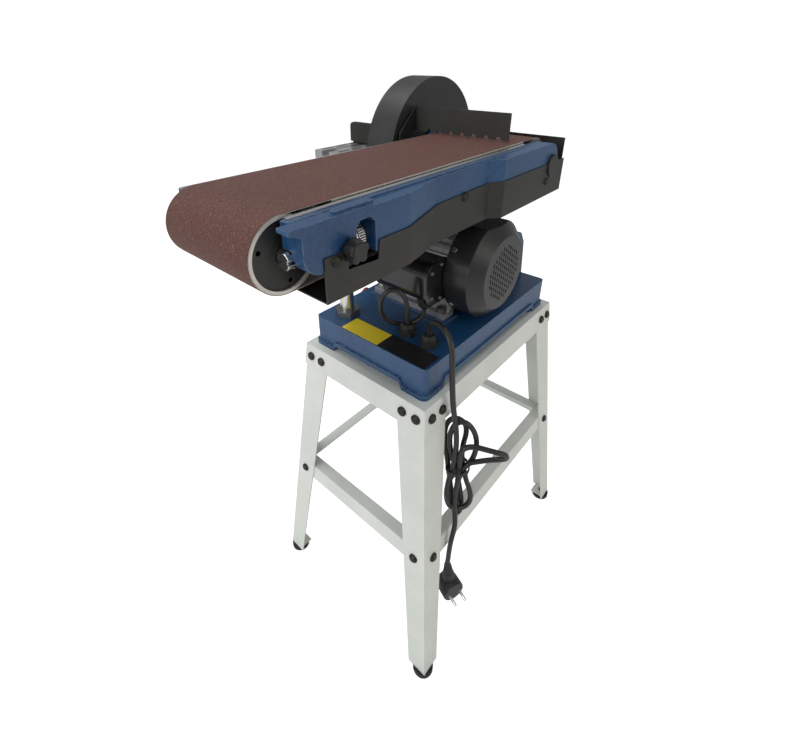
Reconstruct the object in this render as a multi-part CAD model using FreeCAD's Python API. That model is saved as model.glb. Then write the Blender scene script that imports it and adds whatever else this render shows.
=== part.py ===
import FreeCAD, Part
import math
import os

os.makedirs("parts", exist_ok=True)
V = FreeCAD.Vector

# Driving dimensions, mm. X runs along the sanding belt towards its drive drum, Y along the drum
# axes towards the disc, Z up. X = Y = 0 is the middle of the stand and Z = 0 the floor.
STAND_X = 385.4
STAND_Y = 241.0
STAND_TOP = 526.0
SPLAY_X = 50.5
SPLAY_Y = 58.7
SHEET = 2.0
SKIRT = 40.0
FLANGE = 42.0
LEG_TOP_WIDTH = 50.0
LEG_FOOT_WIDTH = 34.0
FOOT_HEIGHT = 12.0
FOOT_R = 17.0
STRETCHER_Z = 253.0
STRETCHER_TALL = 30.0
STRETCHER_FLANGE = 20.0
SEAM = 0.1

BASE_X = 355.0
BASE_Y = 217.0
BASE_TALL = 50.0
BASE_LIP = 3.0
WALL = 6.0

BELT_WIDTH = 150.0
BELT_LENGTH = 1220.0
BELT_THICK = 0.8
BELT_Y = 5.0
DRUM_R = 37.4
DRUM_GAP = 0.3
DRIVE_X = 143.3
AXIS_ABOVE_BASE = 210.0
SHAFT_R = 10.0
RUN = 0.05
TAKE_UP = 8.0

ARM_OUT = 32.0
WAIST_IN = 14.0
CHEEK_IN = 4.0
CHEEK_WALL = 12.0
CHEEK_UP = 32.5
CHEEK_DOWN = 16.0
TIP_REACH = 4.25
END_REACH = 18.7
TRAY_GAP = 7.5
TRAY_SHEET = 1.5

MOTOR_X = 5.0
MOTOR_ABOVE_BASE = 77.0
MOTOR_SHAFT_R = 9.5
COVER_GAP = 0.4

GUARD_OFF = 42.4
GUARD_DEPTH = 56.0
GUARD_GAP = 8.0
DISC_R = 115.0
DISC_OFF = 101.2
PULLEY_OFF = 50.0
PULLEY_WIDE = 20.0
DRIVE_PULLEY_R = 36.0
MOTOR_PULLEY_R = 36.0

TABLE_WIDE = 244.0
TABLE_DEEP = 138.0
TABLE_DROP = 8.0
TABLE_GAP = 2.8
TABLE_THICK = 10.0
PIVOT_OFF = 8.8
PIVOT_DROP = 26.0
SLOT_R = 48.0
TILT = 45.0

CORD_R = 4.0
LEAD_R = 3.5

BASE_TOP = STAND_TOP + BASE_TALL
AXIS_Z = BASE_TOP + AXIS_ABOVE_BASE
MOTOR_Z = BASE_TOP + MOTOR_ABOVE_BASE
BELT_IN = DRUM_R + DRUM_GAP
BELT_OUT = BELT_IN + BELT_THICK
IDLER_X = DRIVE_X - (BELT_LENGTH - 2 * math.pi * BELT_OUT) / 2
BELT_NEAR = BELT_Y - BELT_WIDTH / 2
BELT_FAR = BELT_Y + BELT_WIDTH / 2
ARM_Y = BELT_NEAR - ARM_OUT
ARM_WAIST_Y = ARM_Y + WAIST_IN
TRAY_Z = AXIS_Z - BELT_OUT - TRAY_GAP
CHEEK_LOW = AXIS_Z - CHEEK_DOWN
CHEEK_TOP = AXIS_Z + CHEEK_UP
TIP_X = IDLER_X - TIP_REACH
END_X = DRIVE_X + END_REACH
COVER_R = MOTOR_ABOVE_BASE - COVER_GAP
GUARD_Y = BELT_FAR + GUARD_OFF
GUARD_R = DISC_R + GUARD_GAP
PULLEY_Y = BELT_FAR + PULLEY_OFF
DISC_FACE_Y = BELT_FAR + DISC_OFF
TABLE_Z = AXIS_Z - TABLE_DROP
TABLE_Y = DISC_FACE_Y + TABLE_GAP
PIVOT_Y = DISC_FACE_Y + PIVOT_OFF
PIVOT_Z = TABLE_Z - PIVOT_DROP
X, Y, Z = V(1, 0, 0), V(0, 1, 0), V(0, 0, 1)
AXES = {"x": X, "y": Y, "z": Z}
nodes = {}
free_cord = []


def solid(shape):
    return shape if shape.Volume > 0 else shape.reversed()


def box(x0, x1, y0, y1, z0, z1):
    return Part.makeBox(x1 - x0, y1 - y0, z1 - z0, V(x0, y0, z0))


def slab(points, axis, lo, hi):
    """A flat outline across one axis, thickened along it."""
    spot = {"x": lambda a, b: V(lo, a, b), "y": lambda a, b: V(a, lo, b), "z": lambda a, b: V(a, b, lo)}
    wire = Part.makePolygon([spot[axis](a, b) for a, b in list(points) + [points[0]]])
    return solid(Part.Face(wire).extrude(AXES[axis] * (hi - lo)))


def place(shape, base, direction):
    moved = shape.copy()
    moved.Placement = FreeCAD.Placement(V(*base), FreeCAD.Rotation(Z, V(*direction)))
    return moved


def turned(profile, base, direction):
    """A profile of (radius, height) pairs spun about a line through base."""
    wire = Part.makePolygon([V(r, 0, h) for r, h in list(profile) + [profile[0]]])
    return place(solid(Part.Face(wire).revolve(V(0, 0, 0), Z, 360)), base, direction)


def rod(base, direction, radius, length):
    return Part.makeCylinder(radius, length, V(*base), V(*direction))


def tube(base, direction, outer, inner, length):
    return rod(base, direction, outer, length).cut(rod(base, direction, inner, length))


def hexagon(across, tall, base, direction):
    r = across / math.sqrt(3)
    points = [(r * math.cos(k * math.pi / 3), r * math.sin(k * math.pi / 3)) for k in range(6)]
    return place(slab(points, "z", 0, tall), base, direction)


def join(shapes):
    shapes = list(shapes)
    whole = shapes[0]
    if len(shapes) > 1:
        whole = whole.multiFuse(shapes[1:])
    return whole.removeSplitter()


def together(shapes):
    """Separate solids kept in one node."""
    return Part.makeCompound(list(shapes))


def soften(shape, radius, direction, where=lambda c: True):
    """Round the straight edges that run along a direction."""
    chosen = []
    for edge in shape.Edges:
        if edge.Curve.TypeId != "Part::GeomLine":
            continue
        run = edge.Vertexes[-1].Point - edge.Vertexes[0].Point
        if abs(run.normalize().dot(direction)) > 0.999 and where(edge.CenterOfMass):
            chosen.append(edge)
    return shape.makeFillet(radius, chosen)


def mirror_x(shape):
    return shape.mirror(V(0, 0, 0), X)


def mirror_y(shape):
    return shape.mirror(V(0, 0, 0), Y)


def stadium(x0, x1, z, r0, r1, y0, y1):
    """The hull of two circles side by side, thickened along Y."""
    points = []
    lean = math.acos((r0 - r1) / (x1 - x0)) if x1 > x0 else math.pi / 2
    for k in range(25):
        a = lean + (2 * math.pi - 2 * lean) * k / 24
        points.append((x0 + r0 * math.cos(a), z + r0 * math.sin(a)))
    for k in range(25):
        a = -lean + 2 * lean * k / 24
        points.append((x1 + r1 * math.cos(a), z + r1 * math.sin(a)))
    return slab(points, "y", y0, y1)


def hull_of_two(a, ra, b, rb, y0, y1):
    """The same hull round two centres (x, z) anywhere."""
    gap = math.hypot(b[0] - a[0], b[1] - a[1])
    turn = math.degrees(math.atan2(b[1] - a[1], b[0] - a[0]))
    shape = stadium(0, gap, 0, ra, rb, y0, y1)
    shape.rotate(V(0, 0, 0), Y, -turn)
    shape.translate(V(a[0], 0, a[1]))
    return shape


def stand_half(z):
    """Half sizes of the outside of the stand at a height."""
    drop = (STAND_TOP - z) / (STAND_TOP - FOOT_HEIGHT)
    return STAND_X / 2 + SPLAY_X * drop, STAND_Y / 2 + SPLAY_Y * drop


def ring(z, x0, x1, y0, y1):
    return Part.makePolygon([V(x0, y0, z), V(x1, y0, z), V(x1, y1, z), V(x0, y1, z), V(x0, y0, z)])


def leaning(z0, z1, plan):
    """A bar between two heights whose plan follows the splay of the stand."""
    return solid(Part.makeLoft([ring(z0, *plan(z0)), ring(z1, *plan(z1))], True, True))


# Stand: four rails round the top, four splayed legs, four stretchers.
def front_skirt(inset, reach):
    def plan(z):
        hx, hy = stand_half(z)
        return -hx + inset + reach, hx - inset - reach, -hy + inset, -hy + inset + SHEET
    return plan


def side_skirt(inset, reach):
    def plan(z):
        hx, hy = stand_half(z)
        return -hx + inset, -hx + inset + SHEET, -hy + inset + reach, hy - inset - reach
    return plan


half_x, half_y = STAND_X / 2, STAND_Y / 2
front_rail = join([
    leaning(STAND_TOP - SKIRT, STAND_TOP, front_skirt(0, 0)),
    box(-half_x, half_x, -half_y, -half_y + FLANGE, STAND_TOP - SHEET, STAND_TOP),
])
side_rail = join([
    leaning(STAND_TOP - SKIRT, STAND_TOP, side_skirt(0, SHEET + SEAM)),
    box(-half_x, -half_x + FLANGE, -half_y + FLANGE + SEAM, half_y - FLANGE - SEAM,
        STAND_TOP - SHEET, STAND_TOP),
])
notch = box(-half_x - 5, half_x, -half_y - 5, -half_y + FLANGE + SEAM, STAND_TOP - SHEET - SEAM, STAND_TOP + 1)
side_rail = side_rail.cut(notch).cut(mirror_y(notch))

TUCK = SHEET + SEAM


def leg_section(z):
    hx, hy = stand_half(z)
    share = (z - FOOT_HEIGHT) / (STAND_TOP - FOOT_HEIGHT)
    w = LEG_FOOT_WIDTH + (LEG_TOP_WIDTH - LEG_FOOT_WIDTH) * share
    x, y = -hx + TUCK, -hy + TUCK
    corners = [(x, y), (x + w, y), (x + w, y + SHEET), (x + SHEET, y + SHEET), (x + SHEET, y + w), (x, y + w)]
    return Part.makePolygon([V(a, b, z) for a, b in corners + corners[:1]])


foot_x, foot_y = [TUCK - h for h in stand_half(FOOT_HEIGHT)]
leg_top = STAND_TOP - SHEET - SEAM
leg = solid(Part.makeLoft([leg_section(FOOT_HEIGHT), leg_section(leg_top)], True, True))
shoe = box(foot_x + 1, foot_x + 28, foot_y + 1, foot_y + 28, FOOT_HEIGHT, FOOT_HEIGHT + SHEET)
leg = join([leg, shoe])
foot_at = (foot_x + 12, foot_y + 12)
foot = join([
    turned([(0, 0), (FOOT_R - 2, 0), (FOOT_R, 2), (FOOT_R, FOOT_HEIGHT), (0, FOOT_HEIGHT)],
           (*foot_at, 0), (0, 0, 1)),
    rod((*foot_at, FOOT_HEIGHT), (0, 0, 1), 4, SHEET + 4),
])
leg = leg.cut(rod((*foot_at, FOOT_HEIGHT), (0, 0, 1), 4, SHEET + 4))

INNER = 2 * TUCK
low, high = STRETCHER_Z - STRETCHER_TALL / 2, STRETCHER_Z + STRETCHER_TALL / 2


def shelf(z0, z1, inset, wide, long_side):
    def plan(z):
        hx, hy = stand_half(high)
        if long_side:
            return -hx + inset, hx - inset, -hy + inset, -hy + inset + wide
        return -hx + inset, -hx + inset + wide, -hy + inset + wide + 1, hy - inset - wide - 1
    return leaning(z0, z1, plan)


front_stretcher = join([
    leaning(low, high, front_skirt(INNER, 0)),
    shelf(high - SHEET, high, INNER, STRETCHER_FLANGE, True),
])
side_stretcher = join([
    leaning(low, high, side_skirt(INNER, SHEET + SEAM)),
    shelf(high - SHEET, high, INNER, STRETCHER_FLANGE, False),
])


def dome_bolt(point, normal, head_r, shank_r, shank):
    """A round-headed bolt with its nut; the head sits on the surface at point."""
    n = V(*normal).normalize()
    back = V(*point) - n * shank
    return [
        turned([(0, 0), (head_r, 0), (head_r, 2.4), (head_r * 0.6, 4.6), (0, 4.6)], point, tuple(n)),
        rod(tuple(back), tuple(n), shank_r, shank),
    ]


def stand_bolt(point, normal, stack):
    parts = dome_bolt(point, normal, 7.0, 4.0, 12.0)
    n = V(*normal).normalize()
    nut = hexagon(13.0, 6.0, tuple(V(*point) - n * (stack + 6.0)), tuple(n))
    return join(parts + [nut])


front_lean = (0.0, -(STAND_TOP - FOOT_HEIGHT), SPLAY_Y)
side_lean = (-(STAND_TOP - FOOT_HEIGHT), 0.0, SPLAY_X)
bolt_spots = []
for z, offsets, stack, inset in ((STAND_TOP - 20, (15, 39), 2 * SHEET + SEAM, 0.0),
                                 (STRETCHER_Z, (21,), 2 * SHEET + SEAM, TUCK)):
    hx, hy = stand_half(z)
    for off in offsets:
        bolt_spots.append(((-hx + off + inset, -hy + inset, z), front_lean, stack))
        bolt_spots.append(((-hx + inset, -hy + off + inset, z), side_lean, stack))
corner_bolts = [stand_bolt(*spot) for spot in bolt_spots]
drills = []
for point, normal, stack in bolt_spots:
    n = V(*normal).normalize()
    drills.append(rod(tuple(V(*point) - n * 14), tuple(n), 4.0, 16))
all_drills = drills + [mirror_x(d) for d in drills]
all_drills = all_drills + [mirror_y(d) for d in all_drills]
corner = [front_rail, side_rail, leg, front_stretcher, side_stretcher]
front_rail, side_rail, leg, front_stretcher, side_stretcher = [
    shape.cut(Part.makeCompound(all_drills)) for shape in corner]

BASE_BOLT = (BASE_X / 2 - 37.5, BASE_Y / 2 - 8.5)
for sx in (-1, 1):
    front_rail = front_rail.cut(rod((sx * BASE_BOLT[0], -BASE_BOLT[1], STAND_TOP - 4), (0, 0, 1), 4, 6))
nodes["top_rail_front"] = front_rail
nodes["top_rail_back"] = mirror_y(front_rail)
nodes["top_rail_left"] = side_rail
nodes["top_rail_right"] = mirror_x(side_rail)
nodes["leg_front_left"] = leg
nodes["leg_front_right"] = mirror_x(leg)
nodes["leg_back_left"] = mirror_y(leg)
nodes["leg_back_right"] = mirror_x(mirror_y(leg))
nodes["stretcher_front"] = front_stretcher
nodes["stretcher_back"] = mirror_y(front_stretcher)
nodes["stretcher_left"] = side_stretcher
nodes["stretcher_right"] = mirror_x(side_stretcher)
four = [foot, mirror_x(foot), mirror_y(foot), mirror_x(mirror_y(foot))]
nodes["rubber_feet"] = together(four)
all_bolts = corner_bolts + [mirror_x(b) for b in corner_bolts]
nodes["stand_bolts"] = together(all_bolts + [mirror_y(b) for b in all_bolts])

# Base casting: a hollow box on four corner feet, with a lip along its lower edge.
hx, hy = BASE_X / 2, BASE_Y / 2
block = soften(box(-hx, hx, -hy, hy, STAND_TOP, BASE_TOP), 7, Z)
lip = soften(box(-hx - BASE_LIP, hx + BASE_LIP, -hy - BASE_LIP, hy + BASE_LIP,
                 STAND_TOP, STAND_TOP + 19), 10, Z)
CORNER_FOOT = 44.0
RAISE = 11.0
high_lip = slab([(-hx - 9, STAND_TOP + 7), (-hx + CORNER_FOOT - 6, STAND_TOP + 7),
                 (-hx + CORNER_FOOT, STAND_TOP + RAISE + 7), (hx - CORNER_FOOT, STAND_TOP + RAISE + 7),
                 (hx - CORNER_FOOT + 6, STAND_TOP + 7), (hx + 9, STAND_TOP + 7), (hx + 9, STAND_TOP + 40),
                 (-hx - 9, STAND_TOP + 40)], "y", -hy - 9, -hy + 20)
end_lip = slab([(-hy - 9, STAND_TOP + 7), (-hy + CORNER_FOOT - 6, STAND_TOP + 7),
                (-hy + CORNER_FOOT, STAND_TOP + RAISE + 7), (hy - CORNER_FOOT, STAND_TOP + RAISE + 7),
                (hy - CORNER_FOOT + 6, STAND_TOP + 7), (hy + 9, STAND_TOP + 7), (hy + 9, STAND_TOP + 40),
                (-hy - 9, STAND_TOP + 40)], "x", -hx - 9, -hx + 20)
for cutter in (high_lip, mirror_y(high_lip), end_lip, mirror_x(end_lip)):
    lip = lip.cut(cutter)
casting = join([block, lip])
arch = slab([(-hx + CORNER_FOOT - 6, STAND_TOP - 1), (-hx + CORNER_FOOT, STAND_TOP + RAISE),
             (hx - CORNER_FOOT, STAND_TOP + RAISE), (hx - CORNER_FOOT + 6, STAND_TOP - 1)],
            "y", -hy - 9, hy + 9)
end_arch = slab([(-hy + CORNER_FOOT - 6, STAND_TOP - 1), (-hy + CORNER_FOOT, STAND_TOP + RAISE),
                 (hy - CORNER_FOOT, STAND_TOP + RAISE), (hy - CORNER_FOOT + 6, STAND_TOP - 1)],
                "x", -hx - 9, hx + 9)
hollow = box(-hx + WALL, hx - WALL, -hy + WALL, hy - WALL, STAND_TOP - 1, BASE_TOP - 8)
casting = casting.cut(arch).cut(end_arch).cut(hollow)
PAD_X = (-50.0, 60.0)
PAD_TALL = 2.5
PAD_Y0, PAD_Y1 = -62.0, 92.0
pads = [box(px - 17, px + 17, PAD_Y0, PAD_Y1, BASE_TOP - 2, BASE_TOP + PAD_TALL) for px in PAD_X]
bosses = []
boss_holes = []
for sx in (-1, 1):
    for sy in (-1, 1):
        spot = (sx * BASE_BOLT[0], sy * BASE_BOLT[1])
        bosses.append(box(spot[0] - 9, spot[0] + 9, spot[1] - 15, spot[1] + 15, STAND_TOP, BASE_TOP - 6))
        boss_holes.append(rod((*spot, STAND_TOP - 1), (0, 0, 1), 4, 24))
bosses = [b.common(box(-hx, hx, -hy, hy, STAND_TOP, BASE_TOP)) for b in bosses]
casting = join([casting] + pads + bosses)
for hole in boss_holes:
    casting = casting.cut(hole)
base_bolts = []
for sx in (-1, 1):
    for sy in (-1, 1):
        spot = (sx * BASE_BOLT[0], sy * BASE_BOLT[1])
        base_bolts.append(join([hexagon(13, 5.5, (*spot, STAND_TOP - SHEET - 5.5), (0, 0, 1)),
                                rod((*spot, STAND_TOP - SHEET), (0, 0, 1), 4, 22)]))
nodes["base_bolts"] = together(base_bolts)

# Things that stand on the base top.
BASE_END = -BASE_X / 2
POST = (BASE_END + 36.5, 75.0)
POST_R = 11.0
GLAND_IN = (BASE_END + 53.5, -34.0)
GLAND_OUT = (BASE_END + 50.5, -75.0)
for spot, r in ((POST, 6.0), (GLAND_IN, 8.0), (GLAND_OUT, 8.0)):
    casting = casting.cut(rod((*spot, BASE_TOP - 12), (0, 0, 1), r, 16))
post_top = TRAY_Z - 0.4
nodes["rest_post"] = join([
    rod((*POST, BASE_TOP - 10), (0, 0, 1), 6, 12),
    rod((*POST, BASE_TOP), (0, 0, 1), POST_R, post_top - BASE_TOP - 8),
    turned([(0, 0), (POST_R, 0), (POST_R - 1, 8), (0, 8)], (*POST, post_top - 8), (0, 0, 1)),
])
nut = hexagon(34, 10, (*POST, BASE_TOP), (0, 0, 1)).cut(rod((*POST, BASE_TOP - 1), (0, 0, 1), POST_R, 14))
nodes["rest_post_nut"] = nut


def gland(spot, across, up):
    """A cable gland: threaded stem, hex body and domed nut, bored for its cord."""
    x, y, z = spot
    parts = [
        turned([(0, -8 * up), (8, -8 * up), (8, 0), (0, 0)] if up > 0 else [(0, 0), (8, 0), (8, 8), (0, 8)],
               spot, (0, 0, 1)),
        hexagon(across, 8, spot if up > 0 else (x, y, z - 8), (0, 0, 1)),
        turned([(0, 0), (across * 0.46, 0), (across * 0.46, 6), (across * 0.3, 10), (0, 10)],
               (x, y, z + 8 * up), (0, 0, up)),
    ]
    return join(parts)


gland_in = gland((*GLAND_IN, BASE_TOP), 24, 1).cut(rod((*GLAND_IN, BASE_TOP + 8), (0, 0, 1), LEAD_R, 20))
gland_out = gland((*GLAND_OUT, BASE_TOP), 24, 1).cut(rod((*GLAND_OUT, BASE_TOP + 8), (0, 0, 1), CORD_R, 20))
nodes["cable_glands"] = together([gland_in, gland_out])
LABEL_EDGE = BASE_END + 2
nodes["yellow_plate"] = box(LABEL_EDGE, LABEL_EDGE + 33, -19.5, 52, BASE_TOP, BASE_TOP + 0.4)
nodes["black_plate"] = box(LABEL_EDGE, LABEL_EDGE + 35, -104, -20.5, BASE_TOP, BASE_TOP + 0.4)

# Switch on the side away from the belt's near edge.
SWITCH_X = -70.0
SWITCH_Z = STAND_TOP + 34.0
BUTTON_R = 7.6
BUTTON_GAP = 0.4
plate_y = BASE_Y / 2
window = box(SWITCH_X - 36, SWITCH_X + 36, plate_y - 36, plate_y + 5, SWITCH_Z - 11.5, SWITCH_Z + 12.0)
casting = casting.cut(window)
plate = box(SWITCH_X - 44, SWITCH_X + 44, plate_y, plate_y + 3, SWITCH_Z - 13.5, SWITCH_Z + 13.5)
plate = soften(plate, 4, Y)
can = box(SWITCH_X - 34, SWITCH_X + 34, plate_y - 34, plate_y, SWITCH_Z - 11, SWITCH_Z + 11)
can_hollow = box(SWITCH_X - 31, SWITCH_X + 31, plate_y - 31, plate_y + 5, SWITCH_Z - 9.2, SWITCH_Z + 9.2)
nodes["switch_box"] = join([plate, can]).cut(can_hollow)
START_X, STOP_X = SWITCH_X - 17, SWITCH_X + 16
switch_face = box(SWITCH_X - 31, SWITCH_X + 31, plate_y - 1, plate_y + 4, SWITCH_Z - 9.2, SWITCH_Z + 9.2)
for bx in (START_X, STOP_X):
    switch_face = switch_face.cut(rod((bx, plate_y - 2, SWITCH_Z), (0, 1, 0), BUTTON_R + BUTTON_GAP, 10))
nodes["switch_face"] = switch_face
nodes["start_button"] = turned([(0, 0), (BUTTON_R, 0), (BUTTON_R, 11), (BUTTON_R - 1, 12.5), (0, 12.5)],
                               (START_X, plate_y - 6, SWITCH_Z), (0, 1, 0))
nodes["stop_button"] = turned([(0, 0), (BUTTON_R, 0), (BUTTON_R, 13), (11.5, 14), (11.5, 18), (9, 20), (0, 20)],
                              (STOP_X, plate_y - 6, SWITCH_Z), (0, 1, 0))

# Motor, lying along Y on two foot rails.
MOTOR = (MOTOR_X, MOTOR_Z)
BODY_Y0, BODY_Y1 = -58.0, 80.0
FIN_R, CORE_R, BORE_R = 68.5, 62.0, 56.0
FINS = 30
outline = []
for k in range(FINS):
    for a, r in ((-0.24, CORE_R), (-0.2, FIN_R), (0.2, FIN_R), (0.24, CORE_R)):
        t = 2 * math.pi * (k + a) / FINS
        outline.append((MOTOR_X + r * math.cos(t), MOTOR_Z + r * math.sin(t)))
frame_body = slab(outline, "y", BODY_Y0, BODY_Y1).cut(rod((MOTOR_X, BODY_Y0, MOTOR_Z), (0, 1, 0), BORE_R, 140))
FOOT_Z = BASE_TOP + PAD_TALL
COVER_Y0, BEVEL_Y, COVER_Y1 = -112.0, -95.0, -56.0
FOOT_Y0, FOOT_Y1 = COVER_Y1 + 0.5, 88.0
feet = []
foot_bolts = []
BOLT_Y = (-43.0, 69.0)
for px in PAD_X:
    s = -1 if px < MOTOR_X else 1
    rail = slab([(px - 13 * -s, FOOT_Z), (px + 13 * -s, FOOT_Z), (px + 13 * -s, FOOT_Z + 30),
                 (px + 6 * -s, FOOT_Z + 18), (px - 2 * -s, FOOT_Z + 9), (px - 13 * -s, FOOT_Z + 9)],
                "y", FOOT_Y0, FOOT_Y1)
    rail = rail.cut(rod((MOTOR_X, FOOT_Y0 - 1, MOTOR_Z), (0, 1, 0), FIN_R, 160))
    for by in BOLT_Y:
        rail = rail.cut(rod((px + 3 * s, by, FOOT_Z - 1), (0, 0, 1), 4, 40))
        rail = rail.cut(rod((px + 3 * s, by, FOOT_Z + 9), (0, 0, 1), 8.6, 40))
        foot_bolts.append(join([hexagon(13, 5.5, (px + 3 * s, by, FOOT_Z + 9), (0, 0, 1)),
                                rod((px + 3 * s, by, FOOT_Z - 8), (0, 0, 1), 4, 17)]))
        casting = casting.cut(rod((px + 3 * s, by, FOOT_Z - 8), (0, 0, 1), 4, 17))
    feet.append(rail)
nodes["motor_housing"] = frame_body
nodes["motor_feet"] = together(feet)
nodes["motor_foot_bolts"] = together(foot_bolts)
drive_shield = turned([(MOTOR_SHAFT_R + 0.05 + 8, -4), (BORE_R, -4), (BORE_R, 0), (FIN_R, 0), (FIN_R, 4),
                       (52, 12), (MOTOR_SHAFT_R + RUN + 8, 12)], (MOTOR_X, BODY_Y1, MOTOR_Z), (0, 1, 0))
fan_shield = turned([(MOTOR_SHAFT_R + RUN + 8, -4), (BORE_R, -4), (BORE_R, 0), (FIN_R, 0), (FIN_R, 4),
                     (52, 12), (MOTOR_SHAFT_R + RUN + 8, 12)], (MOTOR_X, BODY_Y0, MOTOR_Z), (0, -1, 0))
nodes["motor_end_shields"] = together([drive_shield, fan_shield])
nodes["motor_bearings"] = together([
    tube((MOTOR_X, BODY_Y1 - 2, MOTOR_Z), (0, 1, 0), MOTOR_SHAFT_R + RUN + 8, MOTOR_SHAFT_R + RUN, 12),
    tube((MOTOR_X, BODY_Y0 + 2, MOTOR_Z), (0, -1, 0), MOTOR_SHAFT_R + RUN + 8, MOTOR_SHAFT_R + RUN, 12)])
nodes["motor_stator"] = tube((MOTOR_X, BODY_Y0 + 16, MOTOR_Z), (0, 1, 0), BORE_R, 32.0, 106)
ROTOR_R = 31.4
nodes["motor_rotor"] = tube((MOTOR_X, BODY_Y0 + 20, MOTOR_Z), (0, 1, 0), ROTOR_R, MOTOR_SHAFT_R, 98)
shaft_end = PULLEY_Y + PULLEY_WIDE + 2
nodes["motor_shaft"] = rod((MOTOR_X, -100, MOTOR_Z), (0, 1, 0), MOTOR_SHAFT_R, shaft_end + 100)
fan = [tube((MOTOR_X, -98, MOTOR_Z), (0, 1, 0), 18, MOTOR_SHAFT_R, 22)]
fan.append(tube((MOTOR_X, -79, MOTOR_Z), (0, 1, 0), 60, 17, 3))
for k in range(8):
    blade = box(MOTOR_X + 16, MOTOR_X + 60, -97, -78, MOTOR_Z - 1.5, MOTOR_Z + 1.5)
    blade.rotate(V(MOTOR_X, 0, MOTOR_Z), Y, 45 * k)
    fan.append(blade)
nodes["cooling_fan"] = join(fan)
FACE_R = 57.0
SHELL = 2.0
length = COVER_Y1 - COVER_Y0
bevel = COVER_Y1 - BEVEL_Y
cover = turned([(COVER_R, 0), (COVER_R, bevel), (FACE_R, length), (0, length), (0, length - SHELL),
                (FACE_R - 1, length - SHELL), (COVER_R - SHELL, bevel - 1), (COVER_R - SHELL, 0)],
               (MOTOR_X, COVER_Y1, MOTOR_Z), (0, -1, 0))
FLAT = 71.0
flat_cut = box(MOTOR_X - 90, MOTOR_X + 90, -130, 0, MOTOR_Z + FLAT, MOTOR_Z + 100)
cover = cover.cut(flat_cut)
flat_lid = box(MOTOR_X - 90, MOTOR_X + 90, COVER_Y0, COVER_Y1, MOTOR_Z + FLAT - SHELL, MOTOR_Z + FLAT)
flat_lid = flat_lid.common(turned([(0, 0), (COVER_R, 0), (COVER_R, bevel), (FACE_R, length), (0, length)],
                                  (MOTOR_X, COVER_Y1, MOTOR_Z), (0, -1, 0)))
cover = join([cover, flat_lid])
slots = []
for col in range(-6, 7):
    for row in range(-5, 6):
        sx = col * 6.6
        sz = (row + (0.5 if col % 2 else 0.0)) * 9.0
        if math.hypot(sx, sz) < 42.0:
            slots.append(box(MOTOR_X + sx - 1.6, MOTOR_X + sx + 1.6, COVER_Y0 - 1, COVER_Y0 + SHELL + 1,
                             MOTOR_Z + sz - 3.0, MOTOR_Z + sz + 3.0))
cover = cover.cut(Part.makeCompound(slots))
nodes["fan_cover"] = cover
cover_screws = []
for a in (35, 145, 215, 325):
    n = V(math.cos(math.radians(a)), 0, math.sin(math.radians(a)))
    p = V(MOTOR_X, -64, MOTOR_Z) + n * COVER_R
    cover_screws.append(turned([(0, 0), (4.4, 0), (3.4, 2.4), (0, 2.4)], tuple(p + n * 0.02), tuple(n)))
nodes["fan_cover_screws"] = together(cover_screws)

# Terminal box on the side of the motor, its lid and its gland.
BOX_Y0, BOX_Y1, BOX_Z0, BOX_Z1 = -50.0, 44.0, MOTOR_Z - 32, MOTOR_Z + 28
BOX_X0 = MOTOR_X - 112
term = box(BOX_X0, MOTOR_X - 60, BOX_Y0, BOX_Y1, BOX_Z0, BOX_Z1)
term = soften(term, 17, Y, lambda c: c.x < BOX_X0 + 1)
term_in = box(BOX_X0 + 3, MOTOR_X - 63, BOX_Y0 - 1, BOX_Y1 - 3, BOX_Z0 + 3, BOX_Z1 - 3)
term_in = soften(term_in, 14, Y, lambda c: c.x < BOX_X0 + 4)
term = term.cut(term_in).cut(rod((MOTOR_X, BODY_Y0, MOTOR_Z), (0, 1, 0), FIN_R, 150))
lid = box(BOX_X0 - 3, MOTOR_X - 66, BOX_Y0 - 5, BOX_Y0, BOX_Z0 - 3, BOX_Z1 + 3)
lid = soften(lid, 18, Y, lambda c: c.x < BOX_X0)
lid = lid.cut(rod((MOTOR_X, BOX_Y0 - 6, MOTOR_Z), (0, 1, 0), FIN_R + 0.5, 10))
nodes["terminal_lid"] = lid
lid_screws = []
for dx, dz in ((10, 10), (10, 50), (32, 3), (32, 57)):
    lid_screws.append(turned([(0, 0), (3.2, 0), (2.6, 2), (0, 2)], (BOX_X0 + dx, BOX_Y0 - 5, BOX_Z0 + dz), (0, -1, 0)))
nodes["terminal_screws"] = together(lid_screws)
BOX_GLAND = (MOTOR_X - 88, -34.0)
term = term.cut(rod((*BOX_GLAND, BOX_Z0 - 1), (0, 0, 1), 8, 8))
nodes["terminal_box"] = term
box_gland = gland((*BOX_GLAND, BOX_Z0), 22, -1)
box_gland = box_gland.cut(rod((*BOX_GLAND, BOX_Z0 - 30), (0, 0, 1), LEAD_R, 13))
nodes["terminal_gland"] = box_gland

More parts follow.
